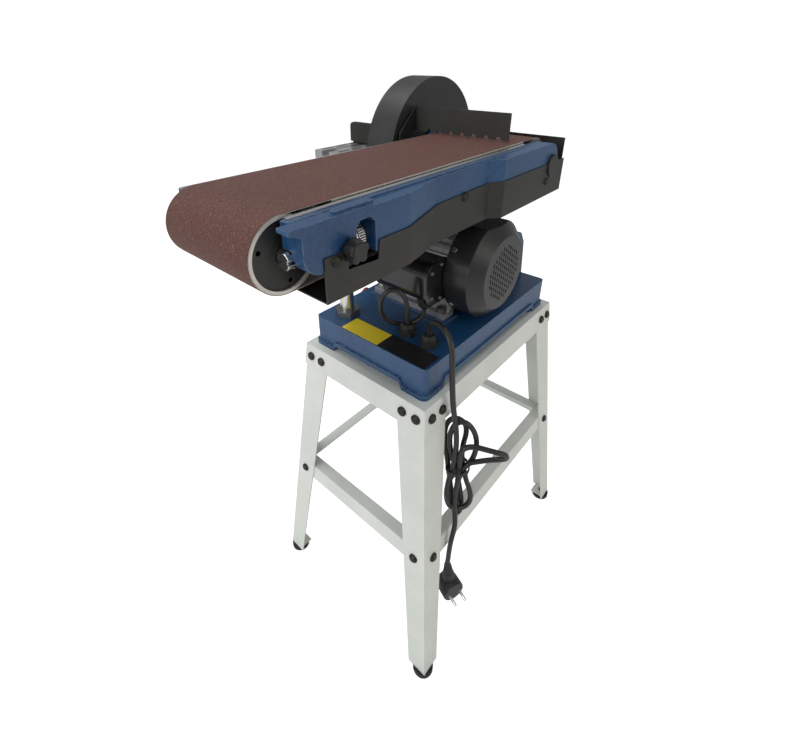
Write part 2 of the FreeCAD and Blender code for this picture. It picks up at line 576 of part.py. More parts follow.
# Pedestal casting that carries the drive spindle, and the spindle itself.
BLOCK_X0, BLOCK_X1 = 96.0, 166.0
BLOCK_TOP = BASE_TOP + 92
PED_Y0 = -68.0
COLUMN_Y0, COLUMN_Y1 = BELT_FAR + 17, BELT_FAR + 37
block = slab([(BLOCK_X0, BASE_TOP), (BLOCK_X1 + 2, BASE_TOP), (BLOCK_X1 - 6, BLOCK_TOP - 24),
              (BLOCK_X1 - 22, BLOCK_TOP), (BLOCK_X0 + 10, BLOCK_TOP), (BLOCK_X0, BLOCK_TOP - 16)],
             "y", PED_Y0, COLUMN_Y1)
block = soften(block, 14, Y, lambda c: c.z > BLOCK_TOP - 30)
block = block.cut(box(0, 300, BASE_Y / 2 - 1, COLUMN_Y1 + 13, BASE_TOP - 1, BASE_TOP + 4))
HOUSING_R = 31.0
column = slab([(BLOCK_X0, BASE_TOP + 6), (BLOCK_X1 + 20, BASE_TOP + 6), (DRIVE_X + 41, AXIS_Z - 10),
               (DRIVE_X + 30, AXIS_Z + 29), (DRIVE_X - 30, AXIS_Z + 29), (DRIVE_X - 41, AXIS_Z - 10)],
              "y", COLUMN_Y0, COLUMN_Y1)
boss = rod((DRIVE_X, COLUMN_Y0, AXIS_Z), (0, 1, 0), 42, COLUMN_Y1 - COLUMN_Y0)
sleeve = rod((DRIVE_X, BELT_FAR + 3.5, AXIS_Z), (0, 1, 0), HOUSING_R, COLUMN_Y1 + 4 - BELT_FAR - 3.5)
pedestal = join([block, column, boss, sleeve])
BEARING_R = 20.0
pedestal = pedestal.cut(rod((DRIVE_X, BELT_FAR, AXIS_Z), (0, 1, 0), BEARING_R, 60))
pedestal = pedestal.cut(box(BLOCK_X0 + 10, BLOCK_X1 - 16, PED_Y0 + 8, COLUMN_Y0 - 7, BASE_TOP - 1, BLOCK_TOP - 12))
nodes["pedestal"] = pedestal
nodes["spindle_bearings"] = together([
    tube((DRIVE_X, BELT_FAR + 4.5, AXIS_Z), (0, 1, 0), BEARING_R, SHAFT_R + RUN, 12),
    tube((DRIVE_X, COLUMN_Y1 - 9, AXIS_Z), (0, 1, 0), BEARING_R, SHAFT_R + RUN, 12)])
NEAR_BEARING_Y = ARM_Y + 10
nodes["spindle"] = rod((DRIVE_X, NEAR_BEARING_Y, AXIS_Z), (0, 1, 0), SHAFT_R, DISC_FACE_Y - 3 - NEAR_BEARING_Y)
drum_y0 = BELT_NEAR - 1
drum_long = BELT_WIDTH + 2
drive_drum = turned([(SHAFT_R, 8), (DRUM_R - 5, 8), (DRUM_R - 5, 0), (DRUM_R, 0), (DRUM_R, drum_long),
                     (DRUM_R - 5, drum_long), (DRUM_R - 5, drum_long - 8), (SHAFT_R, drum_long - 8)],
                    (DRIVE_X, drum_y0, AXIS_Z), (0, 1, 0))
nodes["drive_drum"] = drive_drum


def pulley(x, z, r, bore):
    w = PULLEY_WIDE
    return turned([(bore, 0), (r + 4, 0), (r + 4, 2), (r, 3), (r, w - 3), (r + 4, w - 2), (r + 4, w), (bore, w)],
                  (x, PULLEY_Y, z), (0, 1, 0))


nodes["drive_pulley"] = pulley(DRIVE_X, AXIS_Z, DRIVE_PULLEY_R, SHAFT_R)
nodes["motor_pulley"] = pulley(MOTOR_X, MOTOR_Z, MOTOR_PULLEY_R, MOTOR_SHAFT_R)
drive_at, motor_at = (DRIVE_X, AXIS_Z), (MOTOR_X, MOTOR_Z)
strap_y0, strap_y1 = PULLEY_Y + 4, PULLEY_Y + PULLEY_WIDE - 4
strap = hull_of_two(motor_at, MOTOR_PULLEY_R + 3.2, drive_at, DRIVE_PULLEY_R + 3.2, strap_y0, strap_y1)
nodes["drive_belt"] = strap.cut(
    hull_of_two(motor_at, MOTOR_PULLEY_R + 0.4, drive_at, DRIVE_PULLEY_R + 0.4, strap_y0 - 1, strap_y1 + 1))

# Disc, its guard and the cover over the drive pulleys.
DISC_BACK = DISC_FACE_Y - 13.2
nodes["disc_plate"] = turned([(SHAFT_R, -10), (24, -10), (24, 0), (DISC_R - 1, 0), (DISC_R - 1, 12), (0, 12),
                              (0, 10.2), (SHAFT_R, 10.2)],
                             (DRIVE_X, DISC_BACK, AXIS_Z), (0, 1, 0))
nodes["abrasive_disc"] = rod((DRIVE_X, DISC_FACE_Y - 1.2, AXIS_Z), (0, 1, 0), DISC_R, 1.2)
CASE_WALL = 2.0
CASE_Y1 = PULLEY_Y + PULLEY_WIDE + 10
case_out = hull_of_two(motor_at, 50, drive_at, 52, GUARD_Y - 1.4, CASE_Y1)
case_in = hull_of_two(motor_at, 48, drive_at, 50, GUARD_Y + 1.6, CASE_Y1 + 1)
case = case_out.cut(case_in)
case = case.cut(rod((DRIVE_X, GUARD_Y - 5, AXIS_Z), (0, 1, 0), HOUSING_R, 20))
case = case.cut(rod((MOTOR_X, GUARD_Y - 5, MOTOR_Z), (0, 1, 0), 16, 20))
nodes["drive_case"] = case
lid = hull_of_two(motor_at, 50, drive_at, 52, CASE_Y1, CASE_Y1 + 2)
lid = lid.cut(rod((DRIVE_X, CASE_Y1 - 5, AXIS_Z), (0, 1, 0), 26, 20))
nodes["drive_case_lid"] = lid
guard = rod((DRIVE_X, GUARD_Y, AXIS_Z), (0, 1, 0), GUARD_R, GUARD_DEPTH)
guard = guard.cut(rod((DRIVE_X, GUARD_Y + 2, AXIS_Z), (0, 1, 0), GUARD_R - 2, GUARD_DEPTH))
guard = guard.cut(hull_of_two(motor_at, 50.2, drive_at, 52.2, GUARD_Y - 2, CASE_Y1 + 2.2))
PORT_Y = GUARD_Y + 30
PORT_R = 22.0
guard = guard.cut(rod((DRIVE_X, PORT_Y, AXIS_Z - GUARD_R - 5), (0, 0, 1), PORT_R, 30))
nodes["disc_guard"] = guard
port = tube((DRIVE_X, PORT_Y, AXIS_Z - GUARD_R - 34), (0, 0, 1), PORT_R + 2, PORT_R, 60)
port = port.cut(rod((DRIVE_X, GUARD_Y - 5, AXIS_Z), (0, 1, 0), GUARD_R, 100))
nodes["dust_port"] = port

# Table in front of the disc.
tx0, tx1 = DRIVE_X - TABLE_WIDE / 2, DRIVE_X + TABLE_WIDE / 2
ty1 = TABLE_Y + TABLE_DEEP
table = box(tx0, tx1, TABLE_Y, ty1, TABLE_Z - TABLE_THICK, TABLE_Z)
BAR_Y = TABLE_Y + 107
skirt_ring = [
    box(tx0, tx0 + 5, TABLE_Y, ty1, TABLE_Z - 16, TABLE_Z - 5),
    box(tx1 - 5, tx1, TABLE_Y, ty1, TABLE_Z - 16, TABLE_Z - 5),
    box(tx0, tx1, ty1 - 5, ty1, TABLE_Z - 16, TABLE_Z - 5),
    box(tx0, tx1, BAR_Y - 14, BAR_Y + 14, TABLE_Z - 14, TABLE_Z - 5),
]
table = join([table] + skirt_ring)
table = table.cut(box(tx0 - 1, tx1 + 1, BAR_Y - 10, BAR_Y + 10, TABLE_Z - 9, TABLE_Z + 1))
pockets = []
for row in range(5):
    y0 = TABLE_Y + 10 + row * 17
    for col in range(6):
        x0 = tx0 + 12 + col * 37.5
        pockets.append(box(x0, x0 + 32, y0, y0 + 9, TABLE_Z - 1.5, TABLE_Z + 1))
for col in range(6):
    x0 = tx0 + 12 + col * 37.5
    pockets.append(box(x0, x0 + 32, ty1 - 13, ty1 - 6, TABLE_Z - 1.5, TABLE_Z + 1))
table = table.cut(Part.makeCompound(pockets))
nodes["disc_table"] = table


def sector(r0, r1, a0, a1, x0, x1):
    points = []
    for k in range(13):
        a = math.radians(a0 + (a1 - a0) * k / 12)
        points.append((PIVOT_Y + r1 * math.cos(a), PIVOT_Z + r1 * math.sin(a)))
    for k in range(13):
        a = math.radians(a1 + (a0 - a1) * k / 12)
        points.append((PIVOT_Y + r0 * math.cos(a), PIVOT_Z + r0 * math.sin(a)))
    return slab(points, "x", x0, x1)


STUD_R = 4.0
BRACKET = 6.0
BRACKET_X = 70.0
PLATE = 4.0
trunnions, brackets, pins = [], [], []
stud_a = -TILT
stud_y = PIVOT_Y + SLOT_R * math.cos(math.radians(stud_a))
stud_z = PIVOT_Z + SLOT_R * math.sin(math.radians(stud_a))
for s in (-1, 1):
    near = DRIVE_X + s * (BRACKET_X + BRACKET + 0.4)
    far = near + s * PLATE
    x0, x1 = min(near, far), max(near, far)
    fan_plate = join([
        sector(1, SLOT_R + 8, stud_a - 8, 6, x0, x1),
        box(x0, x1, PIVOT_Y - 4, PIVOT_Y + SLOT_R + 8, PIVOT_Z - 6, TABLE_Z - TABLE_THICK),
    ])
    fan_plate = fan_plate.cut(box(x0 - 1, x1 + 1, PIVOT_Y - 40, PIVOT_Y + 110, TABLE_Z - TABLE_THICK, TABLE_Z + 20))
    slot = join([
        sector(SLOT_R - STUD_R - 0.3, SLOT_R + STUD_R + 0.3, stud_a, 0, x0 - 1, x1 + 1),
        rod((x0 - 1, stud_y, stud_z), (1, 0, 0), STUD_R + 0.3, PLATE + 2),
        rod((x0 - 1, PIVOT_Y + SLOT_R, PIVOT_Z), (1, 0, 0), STUD_R + 0.3, PLATE + 2),
    ])
    fan_plate = fan_plate.cut(slot).cut(rod((x0 - 1, PIVOT_Y, PIVOT_Z), (1, 0, 0), STUD_R + RUN, PLATE + 2))
    trunnions.append(fan_plate)
    bx0, bx1 = sorted((DRIVE_X + s * BRACKET_X, DRIVE_X + s * (BRACKET_X + BRACKET)))
    root = AXIS_Z - GUARD_R
    arm = slab([(CASE_Y1 + 3.5, root + 6), (GUARD_Y + GUARD_DEPTH + 4, root - 12), (stud_y - 10, root - 10),
                (stud_y + 10, stud_z - 8), (stud_y + 10, stud_z + 8), (PIVOT_Y + 8, PIVOT_Z + 3),
                (PIVOT_Y - 4, PIVOT_Z + 3), (PIVOT_Y - 5, PIVOT_Z - 10), (PIVOT_Y - 5, root + 26),
                (CASE_Y1 + 3.5, root + 36)], "x", bx0, bx1)
    arm = arm.cut(rod((DRIVE_X, GUARD_Y - 5, AXIS_Z), (0, 1, 0), GUARD_R, GUARD_DEPTH + 5.5))
    arm = arm.cut(rod((bx0 - 1, stud_y, stud_z), (1, 0, 0), STUD_R + RUN, BRACKET + 2))
    arm = arm.cut(rod((bx0 - 1, PIVOT_Y, PIVOT_Z), (1, 0, 0), STUD_R, BRACKET + 2))
    brackets.append(arm)
    head = DRIVE_X + s * (BRACKET_X + BRACKET + 0.4 + PLATE + 0.4)
    pins.append(join([
        rod((DRIVE_X + s * (BRACKET_X + 0.5), PIVOT_Y, PIVOT_Z), (s, 0, 0), STUD_R, BRACKET + PLATE + 0.3),
        rod((head, PIVOT_Y, PIVOT_Z), (s, 0, 0), 5.6, 3)]))
    knob = join([
        rod((DRIVE_X + s * (BRACKET_X - 2), stud_y, stud_z), (s, 0, 0), STUD_R, BRACKET + PLATE + 8),
        turned([(0, 0), (8, 0), (8, 8), (14, 11), (14, 24), (12, 27), (0, 27)], (head, stud_y, stud_z), (s, 0, 0))])
    nodes["table_knob_left" if s < 0 else "table_knob_right"] = knob
nodes["table_trunnions"] = together(trunnions)
nodes["table_brackets"] = together(brackets)
nodes["table_pivot_pins"] = together(pins)

HEAD_X = DRIVE_X + 2.7
nodes["mitre_bar"] = box(HEAD_X - 95, HEAD_X + 75, BAR_Y - 9.7, BAR_Y + 9.7, TABLE_Z - 8.6, TABLE_Z - 0.6).cut(
    rod((HEAD_X, BAR_Y, TABLE_Z - 9), (0, 0, 1), 3.05, 10))
arc = rod((HEAD_X, BAR_Y, TABLE_Z + 0.4), (0, 0, 1), 46, 4)
arc = arc.common(box(HEAD_X - 12, HEAD_X + 60, BAR_Y - 90, BAR_Y + 70, TABLE_Z, TABLE_Z + 10))
fence = box(HEAD_X - 26, HEAD_X - 18, BAR_Y - 62, BAR_Y + 31, TABLE_Z + 4, TABLE_Z + 42)
fence = soften(fence, 9, X, lambda c: c.z > TABLE_Z + 30)
web = box(HEAD_X - 20, HEAD_X - 8, BAR_Y - 40, BAR_Y + 30, TABLE_Z + 0.4, TABLE_Z + 10)
nodes["mitre_head"] = join([arc, fence, web]).cut(rod((HEAD_X, BAR_Y, TABLE_Z - 2), (0, 0, 1), 3.05, 10))
nodes["mitre_knob"] = join([
    rod((HEAD_X, BAR_Y, TABLE_Z - 7), (0, 0, 1), 3, 14),
    turned([(0, 0), (7, 0), (7, 10), (13, 14), (13, 24), (10, 27), (0, 27)], (HEAD_X, BAR_Y, TABLE_Z + 4.8), (0, 0, 1))])

# The belt arm: two cheeks, cross bars and platen, swinging about the spindle.
cheek_in = BELT_NEAR - CHEEK_IN
far_in = BELT_FAR + CHEEK_IN
WAIST = (IDLER_X + 136.75, IDLER_X + 203.75, DRIVE_X - 168.3, DRIVE_X - 151.3)
RAIL_END = DRIVE_X - 51.3
plan = [(TIP_X, cheek_in), (TIP_X, ARM_Y), (WAIST[0], ARM_Y), (WAIST[1], ARM_WAIST_Y),
        (WAIST[2], ARM_WAIST_Y), (WAIST[3], ARM_Y), (END_X, ARM_Y), (END_X, cheek_in)]
side = []
for cx, cz, r, a0, a1 in ((TIP_X + 20, CHEEK_LOW + 22, 20, 180, 262), (END_X - 24, CHEEK_LOW + 24, 24, 270, 360),
                          (END_X - 26, CHEEK_TOP - 24, 26, 0, 90)):
    for k in range(7):
        a = math.radians(a0 + (a1 - a0) * k / 6)
        side.append((cx + r * math.cos(a), cz + r * math.sin(a)))
side.append((TIP_X, CHEEK_TOP))
near = slab(plan, "z", CHEEK_LOW - 2, CHEEK_TOP + 4).common(slab(side, "y", ARM_Y - 28, BELT_Y))
RAIL_TOP = AXIS_Z + BELT_OUT - 3.5
tip_lip = slab([(TIP_X - 13, CHEEK_TOP + 2), (TIP_X - 13, CHEEK_TOP - 2), (TIP_X, CHEEK_TOP - 7),
                (TIP_X + 2, CHEEK_TOP + 2)], "y", ARM_Y, cheek_in - 12)
near_rail = box(TIP_X + 2, RAIL_END, cheek_in - 11, cheek_in, CHEEK_TOP - 8, RAIL_TOP)
WIN_X0, WIN_X1 = IDLER_X + 58.75, IDLER_X + 84.75
WIN_Z0, WIN_Z1 = AXIS_Z - 20, AXIS_Z + 23
near_ledge = slab(plan, "z", CHEEK_TOP - 8, CHEEK_TOP + 2).common(
    box(TIP_X, WIN_X1 - 1, ARM_Y - 28, BELT_Y, CHEEK_LOW, CHEEK_TOP + 4))
long_pad = box(WIN_X0 - 23, WIN_X1 + 3, ARM_Y + 4, ARM_Y + 12, CHEEK_TOP, CHEEK_TOP + 4.5)
near = join([near, tip_lip, near_rail, near_ledge, soften(long_pad, 3.5, Z)])
window = slab([(WIN_X0, WIN_Z0), (WIN_X1, WIN_Z0), (WIN_X1, WIN_Z1 - 6), (WIN_X1 - 6, WIN_Z1),
               (WIN_X0 + 6, WIN_Z1), (WIN_X0, WIN_Z1 - 6)], "y", ARM_Y - 28, BELT_NEAR + 10)
near = near.cut(window)
near_cut_y = cheek_in - CHEEK_WALL
SCREW_Y = (near_cut_y + cheek_in) / 2
SLIDE_Z = 9.0
channel = box(IDLER_X - 30, WIN_X0 + 1, near_cut_y, cheek_in + 1, AXIS_Z - SLIDE_Z - 0.4, AXIS_Z + SLIDE_Z + 0.4)
near = near.cut(channel)
near = near.cut(rod((WIN_X1 - 1, SCREW_Y, AXIS_Z), (1, 0, 0), 5.4, 30))
KNOB = (WIN_X0 - 10, AXIS_Z)
near = near.cut(rod((KNOB[0], ARM_Y - 28, KNOB[1]), (0, 1, 0), 4.05, 60))
NEAR_SEAT = 7.0 + SHAFT_R
near = near.cut(rod((DRIVE_X, ARM_Y + 6, AXIS_Z), (0, 1, 0), NEAR_SEAT, 40))
nodes["cheek_near"] = near
far_side = [(TIP_X, CHEEK_LOW + 10), (TIP_X + 14, CHEEK_LOW), (DRIVE_X - 40, CHEEK_LOW),
            (DRIVE_X - 30, AXIS_Z - 42), (DRIVE_X + 24, AXIS_Z - 42), (END_X + 16, CHEEK_LOW + 6),
            (END_X + 16, CHEEK_TOP - 14), (END_X + 2, CHEEK_TOP), (TIP_X, CHEEK_TOP)]
far = slab(far_side, "y", far_in, far_in + 10)
far = join([far, box(TIP_X + 2, RAIL_END, far_in, far_in + 8, CHEEK_TOP - 8, RAIL_TOP),
            box(TIP_X - 8, TIP_X + 2, far_in, far_in + 8, CHEEK_TOP - 8, RAIL_TOP)])
STOP_X0 = DRIVE_X - 66.3
LUG_X0, LUG_X1 = STOP_X0 - 41, STOP_X0 - 19
LUG_Z = AXIS_Z + 17
STOP_Y = BELT_FAR + 39
lug = box(LUG_X0, LUG_X1, far_in + 9, STOP_Y - 3, LUG_Z - 11, LUG_Z + 11)
far = join([far, lug])
far = far.cut(rod((DRIVE_X, far_in - 5, AXIS_Z), (0, 1, 0), HOUSING_R + RUN, 30))
far_slot = box(IDLER_X - 9.0, IDLER_X + TAKE_UP + 9.4, far_in - 1, far_in + 12, AXIS_Z - 8.6, AXIS_Z + 8.6)
far = far.cut(far_slot)
nodes["cheek_far"] = far
bars = []
PLATEN = 9.7
for bx in (IDLER_X + 105.75, (IDLER_X + DRIVE_X) / 2, DRIVE_X - 83.3):
    bars.append(box(bx - 6, bx + 6, cheek_in, far_in, AXIS_Z + 7.7 - BELT_IN, AXIS_Z + BELT_IN - PLATEN))
nodes["arm_cross_bars"] = together(bars)
nodes["platen"] = box(IDLER_X + DRUM_R + 20, DRIVE_X - DRUM_R - 6, BELT_NEAR - 2, BELT_FAR + 2,
                      AXIS_Z + BELT_IN - PLATEN, AXIS_Z + BELT_IN)
strip_top = RAIL_TOP + 1.6
nodes["edge_strips"] = together([
    box(TIP_X + 4, RAIL_END, cheek_in - 5, cheek_in, RAIL_TOP, strip_top),
    box(TIP_X - 8, RAIL_END, far_in, far_in + 5, RAIL_TOP, strip_top)])


def loop(r, y0, y1):
    ends = [rod((IDLER_X, y0, AXIS_Z), (0, 1, 0), r, y1 - y0), rod((DRIVE_X, y0, AXIS_Z), (0, 1, 0), r, y1 - y0)]
    return join(ends + [box(IDLER_X, DRIVE_X, y0, y1, AXIS_Z - r, AXIS_Z + r)])


nodes["abrasive_belt"] = loop(BELT_OUT, BELT_NEAR, BELT_FAR).cut(loop(BELT_IN, BELT_NEAR - 1, BELT_FAR + 1))
nodes["near_bearing"] = tube((DRIVE_X, ARM_Y + 7, AXIS_Z), (0, 1, 0), NEAR_SEAT, SHAFT_R + RUN, 12)

# Idler drum on its axle, the sliding blocks, the tension screw and its wheel.
idler_y0 = BELT_NEAR
rim = DRUM_R - 3.2
RECESS = 9.0
HUB_R = 17.0
idler = turned([(HUB_R, RECESS), (rim, RECESS), (rim, 0), (DRUM_R, 0), (DRUM_R, BELT_WIDTH), (rim, BELT_WIDTH),
                (rim, BELT_WIDTH - RECESS), (HUB_R, BELT_WIDTH - RECESS), (HUB_R, BELT_WIDTH - RECESS - 5),
                (rim, BELT_WIDTH - RECESS - 5), (rim, RECESS + 5), (HUB_R, RECESS + 5)],
               (IDLER_X, idler_y0, AXIS_Z), (0, 1, 0))
holes = []
for k in range(6):
    a = math.radians(60 * k + 20)
    ring_r = (rim + HUB_R) / 2 + 1.9
    holes.append(rod((IDLER_X + ring_r * math.cos(a), idler_y0 - 1, AXIS_Z + ring_r * math.sin(a)),
                     (0, 1, 0), 2.4, 20))
nodes["idler_drum"] = idler.cut(Part.makeCompound(holes))
AXLE_R = 8.5
nodes["idler_bearings"] = together([
    tube((IDLER_X, idler_y0 + RECESS - 2.5, AXIS_Z), (0, 1, 0), HUB_R, AXLE_R + RUN, 10),
    tube((IDLER_X, idler_y0 + BELT_WIDTH - RECESS - 7.5, AXIS_Z), (0, 1, 0), HUB_R, AXLE_R + RUN, 10)])
axle_y0 = near_cut_y + 1
axle = rod((IDLER_X, axle_y0, AXIS_Z), (0, 1, 0), AXLE_R, far_in + 9 - axle_y0)
for y0, y1 in ((axle_y0 - 1, cheek_in), (far_in, far_in + 12)):
    axle = axle.cut(box(IDLER_X - 20, IDLER_X + 20, y0, y1, AXIS_Z + 6.6, AXIS_Z + 20))
    axle = axle.cut(box(IDLER_X - 20, IDLER_X + 20, y0, y1, AXIS_Z - 20, AXIS_Z - 6.6))
block = box(IDLER_X - 14, WIN_X0 - 12 - TAKE_UP, near_cut_y + 0.4, cheek_in - 0.4, AXIS_Z - SLIDE_Z, AXIS_Z + SLIDE_Z)
block = block.cut(axle)
screw_x0 = WIN_X0 - 14 - TAKE_UP
screw = rod((screw_x0 - 4, SCREW_Y, AXIS_Z), (1, 0, 0), 5, WIN_X1 + 16 - screw_x0)
block = block.cut(screw)
nodes["idler_axle"] = axle
nodes["slide_block"] = block
nodes["tension_screw"] = screw
wheel = turned([(5.05, 0), (16, 0), (16, 3), (17.5, 4), (17.5, 12), (16, 13), (12, 13), (12, 15), (5.05, 15)],
               (WIN_X0 + 5, SCREW_Y, AXIS_Z), (1, 0, 0))
nodes["tension_wheel"] = wheel
spring = []
for k in range(4):
    spring.append(tube((WIN_X0 + 20.6 + k * 1.3, SCREW_Y, AXIS_Z), (1, 0, 0), 9, 6.2, 1.0))
nodes["tension_spring"] = together(spring)
tip = turned([(0, 0), (3.6, 0), (4, 1), (4, 24), (0, 24)], (KNOB[0], near_cut_y - 0.6, KNOB[1]), (0, -1, 0))
star = []
for k in range(5):
    a = math.radians(72 * k + 90)
    star.append(rod((KNOB[0] + 7.5 * math.cos(a), ARM_Y - 14, KNOB[1] + 7.5 * math.sin(a)), (0, 1, 0), 4.6, 10))
star.append(rod((KNOB[0], ARM_Y - 15, KNOB[1]), (0, 1, 0), 8.5, 14.4))
nodes["tracking_knob"] = join([tip] + star)

# Sheet tray under the belt, its end guard and screws.
TRAY_X0, TRAY_X1 = IDLER_X + 16.75, DRIVE_X + BELT_OUT + 5.2
OUT = 0.2


def tray_path(extra):
    outer, inner = ARM_Y - OUT - extra, ARM_WAIST_Y - OUT - extra
    return [(TRAY_X0, outer), (WAIST[0] + extra * 0.1, outer), (WAIST[1], inner), (WAIST[2], inner),
            (WAIST[3], outer), (TRAY_X1, outer)]


TRAY_FAR = far_in + 10 + OUT
near_wall = slab(tray_path(TRAY_SHEET) + tray_path(0)[::-1], "z", TRAY_Z, AXIS_Z + 14)
low_edge, high_edge = AXIS_Z - 23, AXIS_Z + 5
top_edge = [(TRAY_X0, TRAY_Z), (TRAY_X0, AXIS_Z), (WIN_X0 - 21, AXIS_Z), (WIN_X0 - 16, AXIS_Z - 8),
            (WIN_X0 - 13, WIN_Z0), (WIN_X1 - 1, low_edge), (WIN_X1 + 2, low_edge + 1),
            (WIN_X1 + 4, AXIS_Z - 3), (WAIST[0], AXIS_Z - 3), (WAIST[1], AXIS_Z + 2),
            (WAIST[2], high_edge - 1), (WAIST[3], high_edge), (TRAY_X1, high_edge), (TRAY_X1, TRAY_Z)]
near_wall = near_wall.common(slab(top_edge, "y", ARM_Y - 28, BELT_Y))
CAP_R = SHAFT_R + 7.2
near_wall = near_wall.cut(rod((DRIVE_X, ARM_Y - 28, AXIS_Z), (0, 1, 0), CAP_R + 0.8, 60))
floor_path = tray_path(TRAY_SHEET) + [(TRAY_X1, TRAY_FAR + TRAY_SHEET), (TRAY_X0, TRAY_FAR + TRAY_SHEET)]
floor_sheet = slab(floor_path, "z", TRAY_Z, TRAY_Z + TRAY_SHEET)
floor_sheet = floor_sheet.cut(rod((TRAY_X0 + 14, BELT_NEAR + 20, TRAY_Z - 1), (0, 0, 1), 3, 5))
far_wall = box(TRAY_X0, TRAY_X1, TRAY_FAR, TRAY_FAR + TRAY_SHEET, TRAY_Z, AXIS_Z + 1)
far_wall = far_wall.cut(rod((DRIVE_X, BELT_FAR - 30, AXIS_Z), (0, 1, 0), HOUSING_R + 4, 80))
far_wall = far_wall.cut(far_slot)
tray = join([near_wall, floor_sheet, far_wall])
MID_SCREW = DRIVE_X - 226.3
SCREWS = ((WIN_X0 - 28, ARM_Y, AXIS_Z - 6.5), (MID_SCREW, ARM_WAIST_Y, AXIS_Z - 2),
          (DRIVE_X - 15.3, ARM_Y, AXIS_Z - 22))
SCREW_R = 3.0
screws = []
for sx, sy, sz in SCREWS:
    face = sy - OUT - TRAY_SHEET
    screws.append(join([
        turned([(0, 0), (6, 0), (5.2, 2.2), (3, 3.6), (0, 3.6)], (sx, face, sz), (0, -1, 0)),
        rod((sx, face, sz), (0, 1, 0), SCREW_R, 9)]))
    hole = rod((sx, face - 1, sz), (0, 1, 0), SCREW_R, 10)
    tray = tray.cut(hole)
    nodes["cheek_near"] = nodes["cheek_near"].cut(hole)
for sx in (WIN_X0 - 13, MID_SCREW, DRIVE_X - 83.3):
    face = TRAY_FAR + TRAY_SHEET
    hole = rod((sx, face, AXIS_Z - 7), (0, -1, 0), SCREW_R, 8)
    screws.append(join([hole, turned([(0, 0), (5, 0), (4, 1), (0, 1)], (sx, face, AXIS_Z - 7), (0, 1, 0))]))
    tray = tray.cut(hole)
    nodes["cheek_far"] = nodes["cheek_far"].cut(hole)
nodes["dust_tray"] = tray
nodes["tray_screws"] = together(screws)
nodes["end_guard"] = join([
    box(TRAY_X1 + 0.2, TRAY_X1 + 1.7, ARM_Y + 2, TRAY_FAR, TRAY_Z + 2, AXIS_Z + 36),
    box(END_X + 18, TRAY_X1 + 1.7, far_in + 1, far_in + 9, AXIS_Z - 30, AXIS_Z + 20)])
nodes["spindle_cap"] = turned([(0, 0), (CAP_R, 0), (CAP_R, 4), (CAP_R - 1.7, 5), (0, 5)],
                              (DRIVE_X, ARM_Y, AXIS_Z), (0, -1, 0))

# Work stop across the belt.
STOP_LOW = AXIS_Z + BELT_OUT + 2
STOP_TOP = STOP_LOW + 39.5
STOP_NEAR = BELT_NEAR + 12
blade = box(STOP_X0, STOP_X0 + 3, STOP_NEAR, STOP_Y, STOP_LOW, STOP_TOP)
for k in range(7):
    blade = blade.cut(rod((STOP_X0 - 1, STOP_NEAR + 17 + k * 21.5, STOP_LOW), (1, 0, 0), 5.0, 5))
flange = slab([(STOP_X0 + 3, STOP_TOP), (STOP_X0, STOP_TOP), (LUG_X0 + 3, STOP_LOW + 3.5),
               (LUG_X0, STOP_LOW - 0.5), (LUG_X0, LUG_Z - 9), (LUG_X1, LUG_Z - 9), (LUG_X1, STOP_LOW),
               (STOP_X0 + 3, STOP_LOW)], "y", STOP_Y - 3, STOP_Y)
LUG_X = (LUG_X0 + LUG_X1) / 2
stop_hole = rod((LUG_X, STOP_Y + 1, LUG_Z), (0, -1, 0), SCREW_R, 16)
nodes["work_stop"] = join([blade, flange]).cut(stop_hole)
nodes["cheek_far"] = nodes["cheek_far"].cut(stop_hole)
nodes["stop_screw"] = join([
    rod((LUG_X, STOP_Y, LUG_Z), (0, -1, 0), SCREW_R, 15),
    turned([(0, 0), (6, 0), (4.5, 2.5), (0, 2.5)], (LUG_X, STOP_Y, LUG_Z), (0, 1, 0))])
nodes["base_casting"] = casting


# Cords: each a chain of straight runs joined by arcs.
def cord(points, radius):
    """A round cord through corner points, every corner eased by an arc that fits both runs."""
    pts = [V(*p) for p in points]
    edges = []
    last = pts[0]
    for k in range(1, len(pts) - 1):
        a, b, c = pts[k - 1], pts[k], pts[k + 1]
        into, out = (b - a), (c - b)
        la, lb = into.Length, out.Length
        into.normalize()
        out.normalize()
        turn = into.getAngle(out)
        bend = 0.45 * min(la, lb) / math.tan(turn / 2)
        back = bend * math.tan(turn / 2)
        start, end = b - into * back, b + out * back
        inward = (out - into).normalize()
        centre = b + inward * (bend / math.cos(turn / 2))
        middle = centre - inward * bend
        edges.append(Part.LineSegment(last, start).toShape())
        edges.append(Part.Arc(start, middle, end).toShape())
        last = end
        print("bend radius", round(bend, 1), "turn", round(math.degrees(turn), 1), "runs", round(la, 1), round(lb, 1))
    edges.append(Part.LineSegment(last, pts[-1]).toShape())
    path = Part.Wire(edges)
    first = (pts[1] - pts[0]).normalize()
    section = Part.Wire([Part.makeCircle(radius, pts[0], first)])
    swept = path.makePipeShell([section], True, False)
    print("volume over section x length", round(swept.Volume / (math.pi * radius ** 2 * path.Length), 4))
    return swept, path.Length


